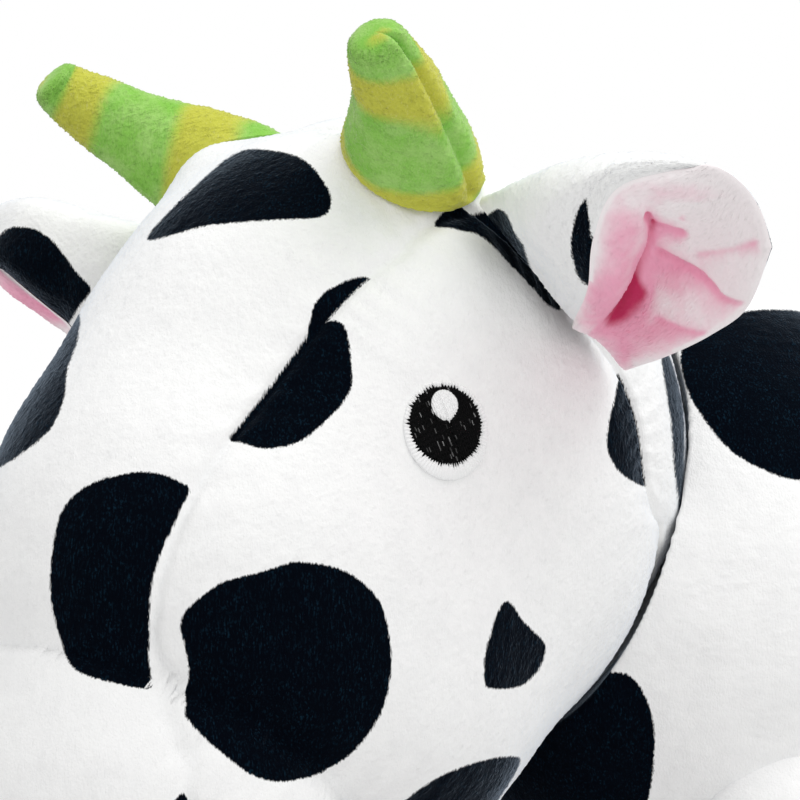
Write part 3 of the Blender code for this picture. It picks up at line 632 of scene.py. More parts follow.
class Nodes:
    """A short hand for one material's node tree."""

    def __init__(self, name: str) -> None:
        """Starts an empty material of that name."""
        self.made = bpy.data.materials.new(name)
        self.made.use_nodes = True
        self.tree = self.made.node_tree
        self.shader = self.tree.nodes["Principled BSDF"]

    def node(self, kind: str, inputs: dict[int | str, object] | None = None, **settings: object) -> bpy.types.Node:
        """Adds a node, sets its properties, and links or sets its inputs.

        Args:
            kind: the node type's name after ShaderNode.
            inputs: a socket to link from, or a value, by input name or number.
            **settings: properties of the node.

        Returns:
            The new node.
        """
        node = self.tree.nodes.new("ShaderNode" + kind)
        for key, value in settings.items():
            setattr(node, key, value)
        for key, value in (inputs or {}).items():
            if isinstance(value, bpy.types.NodeSocket):
                self.tree.links.new(value, node.inputs[key])
            else:
                node.inputs[key].default_value = value
        return node

    def link(self, source: bpy.types.NodeSocket, key: str) -> None:
        """Links a socket to one of the shader's inputs."""
        self.tree.links.new(source, self.shader.inputs[key])

    def noise(self, per_metre: float, detail: float = 2.0, stretch: Point = (1.0, 1.0, 1.0)) -> bpy.types.NodeSocket:
        """Noise on Object coordinates, with so many grains a metre."""
        place = self.node("TexCoord").outputs["Object"]
        mapped = self.node("Mapping", {"Vector": place, "Scale": stretch}).outputs["Vector"]
        return self.node("TexNoise", {"Vector": mapped, "Scale": per_metre, "Detail": detail}).outputs["Fac"]

    def mix(self, share: object, a: object, b: object, blend: str = "MIX") -> bpy.types.NodeSocket:
        """Mixes two colours."""
        node = self.node("Mix", data_type="RGBA", blend_type=blend)
        for key, value in ((0, share), (6, a), (7, b)):
            if isinstance(value, bpy.types.NodeSocket):
                self.tree.links.new(value, node.inputs[key])
            else:
                node.inputs[key].default_value = (*value, 1) if isinstance(value, tuple) else value
        return node.outputs[2]

    def math(self, operation: str, a: object, b: object = 0.0) -> bpy.types.NodeSocket:
        """One sum of two numbers."""
        return self.node("Math", {0: a, 1: b}, operation=operation).outputs[0]

    def step(self, value: object, low: float, high: float) -> bpy.types.NodeSocket:
        """0 below low, 1 above high and smooth between them."""
        inputs = {"Value": value, "From Min": low, "From Max": high}
        return self.node("MapRange", inputs, interpolation_type="SMOOTHSTEP").outputs["Result"]


@dataclass(frozen=True)
class Cloth:
    """Short-pile cloth or thread: a ground colour, a printed colour, and the pile's grain.

    Attributes:
        name: the material's name.
        ground: two shades of the unprinted cloth.
        ink: two shades of the printed cloth, where the print attribute is above 0; navy's teal is painted sheen.
        sheen: how much the pile catches light at grazing angles.
        grain: grains of the pile's bump in a metre.
        bump: height of the pile's bump in metres.
        fray: millimetres that the print's edge wanders along the fibres.
        roughness: how widely the shader scatters light.
        blur: half the width of the print's edge in millimetres.
        attribute: the vertex attribute that holds the print.
        tint: the sheen's colour.
        gloss: the level of the mirror-like light, 0 for plush.
        sheen_roughness: how widely the sheen spreads.
    """

    name: str
    ground: tuple[Colour, Colour]
    ink: tuple[Colour, Colour] | None = None
    sheen: float = 0.5
    grain: float = 1500.0
    bump: float = 0.00012
    fray: float = 0.22
    roughness: float = 0.95
    blur: float = 0.2
    attribute: str = "print"
    tint: Colour = (0.68, 0.82, 1.0)
    gloss: float = 0.0
    sheen_roughness: float = 0.3

    def material(self) -> bpy.types.Material:
        """The material, made once."""
        made = bpy.data.materials.get(self.name)
        return made or self.build()

    def build(self) -> bpy.types.Material:
        """Works out the node tree: mottled ground, flecked ink behind a frayed edge, and two sizes of bump; navy's
        teal flecks are painted sheen.
        """
        nodes = Nodes(self.name)
        streak = nodes.noise(self.grain * 2.2, 1.0, (1.0, 1.0, 0.25))
        fine, coarse = nodes.noise(self.grain * 1.6, 1.0), nodes.noise(self.grain / 8, 2.0)
        mottle = nodes.step(nodes.noise(self.grain / 4, 3.0), 0.35, 0.65)
        shade = nodes.math("ADD", nodes.math("MULTIPLY", coarse, 0.7), nodes.math("MULTIPLY", streak, 0.3))
        colour = nodes.mix(nodes.step(shade, 0.35, 0.65), self.ground[0], self.ground[1])
        if self.ink:
            # Flecks of the ink's second shade along the pile's streaks: random grain, and on the navy print teal
            # painted sheen where the fibres would catch light.
            ink_grain_and_sheen = nodes.math("MULTIPLY", nodes.step(streak, 0.45, 0.75), nodes.step(fine, 0.35, 0.65))
            ink_grain_and_sheen = nodes.math("MULTIPLY", ink_grain_and_sheen, nodes.math("ADD", nodes.math("MULTIPLY", mottle, 0.7), 0.3))
            ink = nodes.mix(ink_grain_and_sheen, self.ink[0], self.ink[1])
            edge = nodes.node("Attribute", attribute_name=self.attribute).outputs["Fac"]
            wander = nodes.math("MULTIPLY", nodes.math("SUBTRACT", streak, 0.5), self.fray * 3)
            mask = nodes.step(nodes.math("ADD", edge, wander), -self.blur, self.blur)
            colour = nodes.mix(mask, colour, ink)
        nodes.link(colour, "Base Color")
        height = nodes.math("ADD", nodes.math("ADD", fine, streak), nodes.math("MULTIPLY", mottle, 0.3))
        bump = nodes.node("Bump", {"Height": height, "Strength": 0.6, "Distance": self.bump})
        nodes.link(bump.outputs["Normal"], "Normal")
        nodes.shader.inputs["Roughness"].default_value = self.roughness
        nodes.shader.inputs["Specular IOR Level"].default_value = self.gloss
        nodes.shader.inputs["Sheen Weight"].default_value = self.sheen
        nodes.shader.inputs["Sheen Roughness"].default_value = self.sheen_roughness
        nodes.shader.inputs["Sheen Tint"].default_value = (*self.tint, 1)
        return nodes.made


@dataclass(frozen=True)
class Lining(Cloth):
    """The ears' lining: pale pink that deepens to rose and deep pink where its attribute rises, as painted shade of
    its folds and hollow.
    """

    # Painted shade: the deepest pink, reached in the darkest folds.
    deep: Colour = (0.56, 0.035, 0.12)

    def build(self) -> bpy.types.Material:
        """Ramps from pale over rose to deep pink along the attribute, painted shade of the folds, with a soft mottle.
        """
        nodes = Nodes(self.name)
        tone = nodes.node("Attribute", attribute_name="tone").outputs["Fac"]
        drift = nodes.math("MULTIPLY", nodes.math("SUBTRACT", nodes.noise(self.grain / 5, 3.0), 0.5), 0.25)
        tone = nodes.math("ADD", tone, drift)
        colour = nodes.mix(nodes.step(tone, 0.05, 0.55), self.ground[0], self.ground[1])
        nodes.link(nodes.mix(nodes.step(tone, 0.6, 1.05), colour, self.deep), "Base Color")
        bump = nodes.node("Bump", {"Height": nodes.noise(self.grain, 2.0), "Strength": 0.5, "Distance": self.bump})
        nodes.link(bump.outputs["Normal"], "Normal")
        nodes.shader.inputs["Roughness"].default_value = self.roughness
        nodes.shader.inputs["Specular IOR Level"].default_value = 0.0
        nodes.shader.inputs["Sheen Weight"].default_value = self.sheen
        return nodes.made


WHITE = ((0.945, 0.945, 0.94), (0.915, 0.915, 0.912))
# The navy's second shade is teal: painted sheen, flecks where the pile would catch light.
NAVY_AND_TEAL_SHEEN = ((0.0015, 0.0025, 0.005), (0.005, 0.018, 0.032))
PRINTED_PLUSH = Cloth("dressed_printed_plush", WHITE, NAVY_AND_TEAL_SHEEN)
NAVY_PLUSH = Cloth("dressed_navy_plush", (NAVY_AND_TEAL_SHEEN[0], (0.003, 0.007, 0.012)))
PINK_PLUSH = Cloth(
    "dressed_pink_plush", ((0.86, 0.46, 0.60), (0.80, 0.38, 0.53)), ((0.45, 0.05, 0.14), (0.5, 0.08, 0.18)),
)
GREEN_PLUSH = Cloth(
    "dressed_green_plush", ((0.25, 0.55, 0.09), (0.36, 0.62, 0.17)), ((0.55, 0.56, 0.08), (0.60, 0.60, 0.16)),
    bump=0.00018, blur=0.9, tint=(1.0, 1.0, 0.8), sheen=0.5,
)
# The rose second ground and the deep pink stand for painted shade in the ear's folds and hollow.
LINING_PLUSH = Lining(
    "dressed_lining_plush", ((0.99, 0.93, 0.94), (0.93, 0.42, 0.57)), sheen=0.1, tint=(1.0, 0.9, 0.95),
)
THREAD = Cloth(
    "dressed_eye_thread", ((0.0006, 0.0006, 0.0008), (0.0012, 0.0012, 0.0014)),
    ((0.90, 0.90, 0.90), (0.95, 0.95, 0.95)),
    sheen=0.0, bump=0.00004, roughness=0.45, fray=0.0, blur=0.06, gloss=0.06,
)
ROSE_THREAD = Cloth(
    "dressed_rose_thread", ((0.40, 0.03, 0.10), (0.5, 0.06, 0.15)), sheen=0.1, bump=0.0001, roughness=0.5,
)


# Sewn and stuffed pieces


def pile(points: np.ndarray, height: float, seed: int) -> np.ndarray:
    """Height of the pile at each point: tufts of about a millimetre, and single fibres."""
    fibres = np.random.default_rng(seed).random(len(points))
    tufts = lattice_noise(points, 1.1, seed) + 0.5 * lattice_noise(points, 2.6, seed + 1)
    return height * (0.35 * tufts + 0.65 * (fibres - 0.5) + 0.9 * fibres**12)


def grid_pile(grid: np.ndarray, height: float, seed: int) -> np.ndarray:
    """Height of the pile at each point of a grid, row by row."""
    return pile(grid.reshape(-1, 3), height, seed).reshape(grid.shape[:2])


@dataclass
class Head:
    """The stuffed head: a gusset, two cheeks and a back panel, sewn along grooves.

    Attributes:
        steps: squares along an edge of its cube grid.
        pile_height: how much the pile roughens the skin.
        rim: heights of the rim seam and how far back it lies there, from the head's middle.
        gusset: half-width of the gusset.
        gusset_shares: degrees of rise, and the share of the half-width there.
        muzzle_point: a point of the muzzle's seam, from the head's middle.
        muzzle_tilt: degrees that the seam's plane faces down.
        mounds: places on each side where the filling stands out or lies lower, with their height and width.
    """

    steps: int = 220
    pile_height: float = 0.13
    rim: tuple[Pixel, ...] = (
        (-70, 52), (-30, 47), (-11.8, 40.7), (-7.4, 35.6), (-2.7, 31.8), (2, 29.8), (7, 28.1), (11.7, 26),
        (16.6, 22.8), (23, 16.5), (29.4, 10.1), (36.4, 4.3), (42.5, -0.6), (48, -6.5), (53, -9.0), (58, -9.0),
        (70, -9.0))
    gusset: float = 31.0
    gusset_shares: tuple[Pixel, ...] = (
        (-180, 1.0), (-60, 1.06), (-38, 0.99), (-33, 0.92), (-28, 0.81), (-23, 0.745), (-18, 0.765), (-10, 0.81),
        (-3, 0.84), (9, 0.875), (21, 0.89), (33, 0.915), (43, 0.94), (52, 0.965), (65, 1.0), (80, 0.985),
        (180, 1.0))
    muzzle_point: Point = (0, -52, -64)
    muzzle_tilt: float = 62.0
    mounds: tuple[tuple[Point, float, float], ...] = (
        ((19.0, -15.0, 50.0), 3.6, 8.5), ((14.0, 30.0, 52.0), -3.5, 20.0))

    def muzzle_plane(self) -> tuple[np.ndarray, np.ndarray]:
        """Point and forward normal of the seam between head and muzzle."""
        tilt = math.radians(self.muzzle_tilt)
        return HEAD_MIDDLE + self.muzzle_point, np.array((0, -math.cos(tilt), -math.sin(tilt)))

    def seams(self, offset: np.ndarray, rise: np.ndarray) -> tuple[np.ndarray, np.ndarray]:
        """Millimetres outside the gusset and behind the rim.

        The gusset's half-width is read from its shares at the rise angle, the rim's place from its table at the
        height.
        """
        half = self.gusset * table(self.gusset_shares, rise)
        behind = 0.8 * (offset[:, 1] - 1.0 - table(self.rim, offset[:, 2]))
        return np.abs(offset[:, 0]) - half - 0.4, behind

    def mound(self, offset: np.ndarray) -> np.ndarray:
        """How far the filling stands out of the plain form: a bell round each mound's place."""
        out = np.zeros(offset.shape[:-1])
        for place, height, width in self.mounds:
            away = np.linalg.norm(np.abs(offset) * (1, 0, 0) + offset * (0, 1, 1) - place, axis=-1)
            out += height * bell(away, width)
        return out

    def build(self) -> list[bpy.types.Object]:
        """Makes the head and hides the part that it stands for."""
        directions, quads = ball_grid(self.steps)
        offset = directions * HEAD.radius(directions)[:, None]
        rise = np.degrees(np.arctan2(directions[:, 2], -directions[:, 1]))
        outside, behind = self.seams(offset, rise)
        shell = Surface(HEAD_MIDDLE + offset + directions * self.mound(offset)[:, None], quads).face_out()
        normals = shell.normals()
        panels = {Panel.GUSSET: -outside, Panel.CHEEK: np.minimum(outside, -behind), Panel.BACK: behind}
        shell.paint["print"] = HEAD_PRINT.paint(shell.points, normals, HEAD_MIDDLE, panels)
        shell.raise_by(self.relief(offset, rise, outside, behind))
        shell.points = self.cut_snout(shell.points)
        head = shell.add("head_plush", PRINTED_PLUSH)
        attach(head, "head")
        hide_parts("head")
        return [head]

    def relief(self, offset: np.ndarray, rise: np.ndarray, outside: np.ndarray, behind: np.ndarray) -> np.ndarray:
        """Height of each point above the plain form.

        Grooves along the seams with a wide soft shoulder, gathers across them, lumps of filling, and the pile.
        """
        sewn = smooth(-88, -70, rise) * (1 - smooth(88, 104, rise)) * smooth(2, -4, behind)
        gathers = np.sin(rise * 0.9 + 4 * lattice_noise(offset, 11, 3))
        groove = np.zeros(len(offset))
        for away, strength in ((outside, sewn), (behind, np.ones_like(rise))):
            groove -= strength * (0.95 * bell(away, 0.8) + 1.0 * bell(away, 4.5))
            groove += strength * 0.12 * gathers * bell(away, 5.0) * smooth(0, 2, np.abs(away))
        lumps = 0.7 * lattice_noise(offset, 23, 5) + 0.2 * lattice_noise(offset, 10, 6)
        nap = pile(offset, self.pile_height, 11)
        return groove + lumps + nap

    def cut_snout(self, points: np.ndarray) -> np.ndarray:
        """Pulls what lies past the muzzle's seam back onto its plane, along the ray from the head's middle."""
        seam, ahead = self.muzzle_plane()
        offset = points - HEAD_MIDDLE
        reach = (seam - HEAD_MIDDLE) @ ahead
        along = np.maximum(offset @ ahead, 1e-6)
        return HEAD_MIDDLE + offset * np.minimum(1, reach / along)[:, None]


@dataclass
class Muzzle:
    """The pink nose end: a puffed pad ahead of its seam, with a stitched mouth."""

    head: Head
    rows: int = 110
    sides: int = 200
    puff: float = 1.2

    def build(self) -> list[bpy.types.Object]:
        """Makes the pad.

        For each angle round the tip, the angle from the tip grows until the skin meets the seam's plane. The pad's
        face has its rows up to there and its back has a few more on the plane.
        """
        seam, ahead = self.head.muzzle_plane()
        seam = seam + ahead * 0.3
        tip = unit(seam + ahead * 17 - HEAD_MIDDLE)
        across = unit(np.cross(UP, tip))
        up = np.cross(tip, across)
        round_angle = turns(self.sides)
        spoke = np.cos(round_angle)[:, None] * across + np.sin(round_angle)[:, None] * up
        near, far = np.zeros(self.sides), np.full(self.sides, 1.2)
        for _ in range(24):
            middle = (near + far) / 2
            trial = np.cos(middle)[:, None] * tip + np.sin(middle)[:, None] * spoke
            ahead_of = (HEAD.skin(trial) - seam) @ ahead > 0
            near, far = np.where(ahead_of, middle, near), np.where(ahead_of, far, middle)
        share = np.linspace(0, 1, self.rows + 1)[1:, None]
        angle = near * share
        rays = np.cos(angle)[..., None] * tip + np.sin(angle)[..., None] * spoke
        swell = self.puff * np.sqrt(np.maximum(1 - share**8, 0)) * np.ones_like(angle)
        front = HEAD_MIDDLE + rays * (HEAD.radius(rays) + swell)[..., None]
        flat = front - HEAD_MIDDLE
        mouth = self.mouth(flat)
        nap = grid_pile(front, 0.15, 21) * (share < 0.99)
        front = front + rays * (nap - 1.4 * bell(mouth, 0.9))[..., None]
        back = HEAD_MIDDLE + flat[-1] * np.linspace(0.96, 0.1, 12)[:, None, None]
        back = back - ((back - seam) @ ahead)[..., None] * ahead
        paint = np.concatenate((1.0 - mouth, np.full(back.shape[:2], -2.0)))
        grid = np.concatenate((front, back))
        ends = (HEAD.skin(tip, self.puff), back[-1].mean(0))
        pad = wrap(grid, ends, {"print": np.clip(paint - 0.5, -2, 2)}).add("muzzle_plush", PINK_PLUSH)
        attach(pad, "head")
        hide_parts("muzzle")
        return [pad]

    def mouth(self, offset: np.ndarray) -> np.ndarray:
        """Millimetres from the stitched mouth, a smile that hangs from a short line under the nose."""
        x, z = offset[..., 0], offset[..., 2]
        smile = np.abs(z + 79 - 0.018 * x**2) + 3 * smooth(15, 17, np.abs(x))
        line = np.hypot(np.maximum(np.abs(z + 76) - 3, 0), x)
        return np.where(offset[..., 1] < -20, np.minimum(smile, line), 5.0)


@dataclass
class Patch:
    """A thread patch that lies on the head: a low dome whose stitches run side by side.

    Attributes:
        name: the piece's name.
        node: the CAD node that it stands for.
        rise: degrees up from straight ahead.
        across: degrees towards the side.
        half_sizes: half width and half height.
        lift: height of the cloth under it above the head's plain skin.
    """

    name: str
    node: str
    side: Side
    rise: float
    across: float
    half_sizes: tuple[float, float]
    lift: float
    finish: Cloth
    rings: int = 70
    sides: int = 240

    def stitches(self, x: np.ndarray, y: np.ndarray) -> tuple[np.ndarray, np.ndarray]:
        """Ridge height and print of plain side-by-side stitches."""
        return 0.08 * np.cos(AROUND * (y - 0.4 * x) / 0.6), np.full_like(x, -1.0)

    def build(self) -> list[bpy.types.Object]:
        """Makes the patch from rings of a disc laid on the head."""
        aimed = aim(self.rise, self.across)
        reach = float(HEAD.radius(aimed[None])[0])
        across = unit(np.cross(UP, aimed))
        up = np.cross(aimed, across)
        share = np.linspace(0, 1, self.rings + 1)[1:, None]
        angle = turns(self.sides)[None]
        x, y = share * np.cos(angle) * self.half_sizes[0], share * np.sin(angle) * self.half_sizes[1]
        ridge, painted = self.stitches(x, y)
        rays = unit(aimed * reach + x[..., None] * across + y[..., None] * up)
        thick = self.lift + 0.1 + 0.75 * np.sqrt(np.maximum(1 - share**5, 0)) + ridge
        top = HEAD_MIDDLE + rays * (HEAD.radius(rays) + thick)[..., None]
        low = (HEAD_MIDDLE + rays * (HEAD.radius(rays) + self.lift - 0.4)[..., None])[::-8]
        grid = np.concatenate((top, low))
        paint = np.concatenate((painted, painted[::-8]))
        ends = (HEAD.skin(aimed, self.lift + 1.0), HEAD.skin(aimed, self.lift - 0.4))
        surface = wrap(grid, ends, {"print": paint})
        piece = surface.mirrored(self.side).add(self.name, self.finish)
        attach(piece, "head")
        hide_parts(self.node)
        return [piece]


@dataclass
class Eye(Patch):
    """An embroidered eye: a black iris, a white border in satin stitch and a white glint."""

    iris: tuple[float, float] = (6.4, 6.25)
    shift: tuple[float, float] = (-0.3, 0.75)
    glint: tuple[float, float, float, float] = (-0.4, 3.85, 2.3, 2.45)
    threads: int = 400

    def stitches(self, x: np.ndarray, y: np.ndarray) -> tuple[np.ndarray, np.ndarray]:
        """Ridge height, and millimetres inside white thread.

        The border's stitches stand across it, the iris's and the glint's lie slanted in rows that start unevenly.
        Short grey flecks on the black rows are painted highlights, glints of light on the thread.
        """
        rng = np.random.default_rng(5)
        lane = (x * 0.93 + y * 0.36) / 0.42
        along = (y * 0.93 - x * 0.36) / 0.8
        number = np.clip(np.floor(lane).astype(int) + self.threads // 2, 0, self.threads - 1)
        point = np.abs((lane % 1) - 0.5) * 2
        ragged = (rng.random(self.threads)[number] - 0.3) * (1 - point)
        turn = np.arctan2(y / self.half_sizes[1], x / self.half_sizes[0])
        place = (turn / AROUND + 0.5) * 78
        uneven = 0.25 + 0.9 * rng.random(self.threads)[np.floor(place).astype(int)]
        tooth = uneven * (1 - np.abs((place % 1) - 0.5) * 2)
        round_x, round_y = (x - self.shift[0]) / self.iris[0], (y - self.shift[1]) / self.iris[1]
        out = (np.hypot(round_x, round_y) - 1) * 6.6 + 0.28 - tooth * 0.75
        gx, gy = x - self.glint[0], y - self.glint[1]
        narrow = self.glint[2] * (1 - 0.03 * np.clip(-gy, 0, 3))
        spark = (1 - np.hypot(gx / narrow, gy / self.glint[3])) * 2.4 + 0.8 * ragged * smooth(0.5, -1.5, gy)
        white = np.maximum(out, spark)
        # Painted highlights: short grey flecks on the black rows stand for glints of light on the thread.
        segment = np.floor(along + 7 * rng.random(self.threads)[number]).astype(int) + 40
        painted_thread_glint = rng.random((self.threads, 120))[number, np.clip(segment, 0, 119)]
        white = np.maximum(white, np.where((painted_thread_glint > 0.86) & (point < 0.55), -0.05 + 0.25 * (painted_thread_glint - 0.86), -1))
        satin = 0.07 * np.cos(place * AROUND) * (out > 0)
        rows = 0.07 * np.cos(AROUND * lane) + 0.04 * np.cos(AROUND * (along + 3 * ragged))
        dip = -0.25 * bell(out, 0.3) - 0.2 * bell(spark, 0.3)
        return np.where(out > 0, satin + 0.1, rows) + dip, white


@dataclass
class Horn:
    """A soft horn: a tapered tube along a bent line, with a seam down it, that starts on the head's skin.

    Attributes:
        side: the side it grows on.
        head: the head that it is sewn to.
        bend: the four points of the line's cubic, from the head's middle.
        radii: the tube's radius at each share of the line.
        seam_turn: angle of the seam round the tube.
        slim: what the radii are multiplied by.
    """

    side: Side
    head: Head
    bend: tuple[Point, ...] = ((21.2, -6.6, 48.5), (27.0, -12.0, 54.0), (38.0, -23.9, 60.6), (40.2, -32.0, 68.2))
    start: float = -0.35
    radii: tuple[Pixel, ...] = (
        (-0.35, 11.9), (0.0, 11.9), (0.25, 10.4), (0.5, 8.2), (0.8, 5.8), (0.92, 4.9), (0.97, 4.2), (0.992, 3.0),
        (1.0, 1.5))
    seam_turn: float = 0.95
    slim: float = 1.0
    rows: int = 170
    sides: int = 150

    def build(self) -> list[bpy.types.Object]:
        """Makes the horn. Each of its lines starts where the tube leaves the head; each row is a loop round it."""
        share = np.concatenate((np.linspace(0, 0.95, self.rows - 24), np.linspace(0.952, 1, 24)))
        t = self.start + (1 - self.start) * share
        blend = np.stack(((1 - t) ** 3, 3 * t * (1 - t) ** 2, 3 * t * t * (1 - t), t**3), -1)
        path = blend @ np.array(self.bend) + HEAD_MIDDLE
        line = np.array(self.bend[0]) + 3 * t[:, None] * np.subtract(self.bend[1], self.bend[0]) + HEAD_MIDDLE
        path = np.where(t[:, None] < 0, line, path)
        radii = table(self.radii, t) * self.slim
        tube = tube_grid(path, radii, self.sides, np.array((0.6, -0.4, -0.7)))
        above = HEAD.height(tube) - self.head.mound(tube - HEAD_MIDDLE)
        buried = np.where(above < 0.25, np.arange(self.rows)[:, None], -1).max(0)
        start = np.maximum(buried, 0)
        place = start + (np.arange(self.rows)[:, None] / (self.rows - 1)) * (self.rows - 1 - start)
        low = np.minimum(place.astype(int), self.rows - 2)
        part = (place - low)[..., None]
        column = np.arange(self.sides)[None]
        grid = tube[low, column] * (1 - part) + tube[low + 1, column] * part
        turn = turns(self.sides)
        seam = np.abs((turn - self.seam_turn + math.pi) % AROUND - math.pi)
        depth = -0.9 * bell(seam, 0.10) + 0.5 * bell(seam - 0.3, 0.2)
        lumps = 0.45 * lattice_noise(grid, 9, 8) + 0.2 * lattice_noise(grid, 4, 9)
        nap = grid_pile(grid, 0.26, 31)
        fade = smooth(0.0, 0.05, np.linspace(0, 1, self.rows))[:, None]
        middle = np.stack([np.interp(place, np.arange(self.rows), path[:, axis]) for axis in range(3)], -1)
        out = unit(grid - middle)
        grid = grid + out * (fade * (depth + lumps + nap))[..., None]
        bands = self.bands(grid - HEAD_MIDDLE, place / self.rows, turn)
        base = HEAD.skin(grid[0].mean(0) - HEAD_MIDDLE, 0.3)
        surface = wrap(grid, (base, grid[-1].mean(0)), {"print": bands}).mirrored(self.side)
        horn = surface.add(f"horn_{self.side.word}_plush", GREEN_PLUSH)
        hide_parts(f"horn_{self.side.word}")
        f"horn_{self.side.word}"
        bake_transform(horn)
        return [horn]

    def bands(self, offset: np.ndarray, share: np.ndarray, turn: np.ndarray) -> np.ndarray:
        """Millimetres inside a soft olive band: waves of the place along the horn, bent by slow noise."""
        bend = 0.9 * lattice_noise(offset, 13, 17)
        wave = np.cos(AROUND * (share * 2.6 + 0.12 * np.sin(turn + 0.8) + 0.16 * bend) + 0.6)
        return (wave - 0.25) * 2.0


Net = tuple[tuple[Point, ...], ...]


@dataclass(frozen=True)
class Crease:
    """A crease in a lining: its line in pixels, its depth, its painted shade, and how that shade fans to its right."""

    line: tuple[Pixel, ...]
    depth: float
    tone: float
    fan: float = 0.0
    fan_width: float = 3.0


@dataclass
class Ear:
    """The left ear: two layers, folded at their root into the seam behind the cheek.

    The nets give pixels of the photograph and millimetres towards its camera, rows from root to tip. The shell's
    columns run from the front edge over the top to the rear edge; the lining's run through the fold inside.

    Attributes:
        side: the side it is sewn to.
        rows: loops of the grid from root to tip.
        columns: points of the grid from edge to edge.
        shell_net: the outer layer's net.
        lining_net: the inner layer's net.
        creases: the folds pressed into the lining, each with painted shade deepening its pink.
        front_print: blotches on the front wall, in pixels.
        back_print: blotches on the wall behind.
        flush: middle in pixels, half sizes in pixels, least share across, and strength of each soft pink patch,
        painted shade in the ear's hollow.
    """

    side: Side = Side.LEFT
    rows: int = 136
    columns: int = 172
    shell_net: Net = (
        ((574, 321, 28.5), (553, 291, 29), (519, 247, 29), (484, 203, 27), (527, 246, 22), (577, 303, 20),
         (629, 369, 19)),
        ((588, 289, 45.5), (562, 262, 44), (530, 222, 43), (520, 184, 37), (566, 215, 29), (618, 285, 23),
         (667, 356, 31)),
        ((594, 238, 55), (580, 215, 54), (566, 187, 53), (580, 163, 47), (625, 190, 37), (665, 262, 31),
         (712, 334, 42)),
        ((620, 187, 61.5), (620, 172, 61), (632, 163, 60.5), (655, 157, 56), (690, 178, 47), (716, 240, 43),
         (748, 306, 52)),
        ((699, 165, 68), (710, 164, 69), (722, 169, 69.5), (737, 179, 69), (751, 194, 68), (763, 216, 67),
         (772, 247, 65.5)),
    )
    lining_net: Net = (
        ((573.6, 321, 28.5), (580, 325, 29), (588, 329, 27), (597, 335, 24.5), (608, 345, 22), (619, 357, 20),
         (629, 369, 19.5)),
        ((587.4, 289, 45.5), (610, 292, 45), (625, 297, 38), (640, 304, 33), (650, 320, 31.5),
         (659, 339, 31.5), (667.4, 356.2, 32)),
        ((593.4, 238, 55), (619, 243, 54.5), (640, 253, 48), (664, 263, 42), (682, 284, 41), (698, 309, 41.5),
         (712.4, 334.2, 42.5)),
        ((619.4, 187, 61.5), (645, 196, 61), (664, 212, 57), (690, 224, 52), (712, 243, 50.5), (733, 273, 51),
         (748.4, 306.2, 52.5)),
        ((698.5, 165, 68), (718, 170, 69.5), (735, 180, 69.5), (750, 194, 69), (760, 210, 68.5),
         (767, 228, 67.5), (772, 247, 66)),
    )
    # Painted shade: each crease also deepens the lining's pink along its line.
    creases: tuple[Crease, ...] = (
        Crease(((641, 214), (648, 216), (652, 228), (650, 246), (641, 266), (632, 288), (613, 317),
                (597, 331)), 1.4, 0.6),
        Crease(((652, 225), (668, 226), (694, 231)), 0.6, 0.5, 0.16, 1.8),
        Crease(((650, 246), (668, 255), (688, 265), (701, 273), (712, 284), (724, 297), (746, 302),
                (770, 298)), 0.8, 0.42, 0.22, 5.0),
        Crease(((694, 252), (735, 247), (775, 236)), 0.35, 0.24, 0.08, 2.5),
        Crease(((656, 314), (688, 328), (726, 337)), 0.3, 0.2, 0.1, 3.0),
        Crease(((681, 216), (684, 209)), 0.2, 0.25),
    )
    # Painted shade: soft patches of deeper pink in the ear's hollow and by its folds.
    flush: tuple[tuple[Pixel, Pixel, float, float], ...] = (
        ((638, 291), (15, 13), 0.32, 0.6),
        ((624, 308), (30, 15), 0.30, 0.5),
        ((658, 272), (44, 28), 0.30, 0.26),
        ((618, 250), (22, 50), 0.0, 0.34),
        ((600, 305), (26, 34), 0.0, 0.45),
        ((650, 336), (52, 22), 0.3, 0.36),
        ((690, 186), (62, 12), 0.0, 0.24),
        ((640, 222), (36, 26), 0.0, 0.2),
        ((628, 354), (12, 20), 0.0, 0.25),
        ((770, 245), (24, 14), 0.0, 0.25),
    )
    front_print: tuple[tuple[Pixel, ...], ...] = (
        ((588, 198), (590, 211), (592, 228), (593, 248), (593, 268), (591, 286), (583, 280), (577, 267), (574, 246),
         (575, 228), (579, 210), (585, 201)),
        ((462, 225), (480, 224), (490, 214), (500, 208), (508, 211), (513, 219), (518, 231), (526, 243), (530, 256),
         (536, 271), (541, 286), (549, 299), (558, 311), (540, 316), (500, 284), (456, 245)),
    )
    back_print: tuple[tuple[Pixel, ...], ...] = (
        ((756, 200), (764, 206), (780, 235), (782, 262), (766, 262), (745, 240), (736, 215)),
        ((590, 250), (640, 260), (660, 300), (640, 325), (600, 310)),
    )
    name: str = "ear_left"

    def net(self, knots: Net, rows: int, columns: int) -> np.ndarray:
        """The smooth grid through a net, on the left side: a curve through each column, then one through each row."""
        places = PHOTO.place(knots) * self.side.mirror
        down = through(places, rows)
        return through(down.transpose(1, 0, 2), columns).transpose(1, 0, 2)

    def marks(self, grid: np.ndarray) -> np.ndarray:
        """Pixels of the grid's points on the side where the ear is."""
        return PHOTO.project(grid * self.side.mirror).reshape(-1, 2)

    def normals(self, grid: np.ndarray) -> np.ndarray:
        """Normals of a grid towards the fold's inside, square to its rows and columns."""
        return unit(np.cross(np.gradient(grid, axis=1), np.gradient(grid, axis=0)) + 1e-9)

    def build(self) -> list[bpy.types.Object]:
        """Makes the shell and the lining."""
        return [self.shell(), self.lining()]

    def clear_head(self, grid: np.ndarray, lift: float) -> np.ndarray:
        """Keeps points at least lift above the head's skin, moved out along the ray from its middle."""
        short = np.maximum(lift - HEAD.height(grid), 0)
        return grid + unit(grid - HEAD_MIDDLE) * short[..., None]

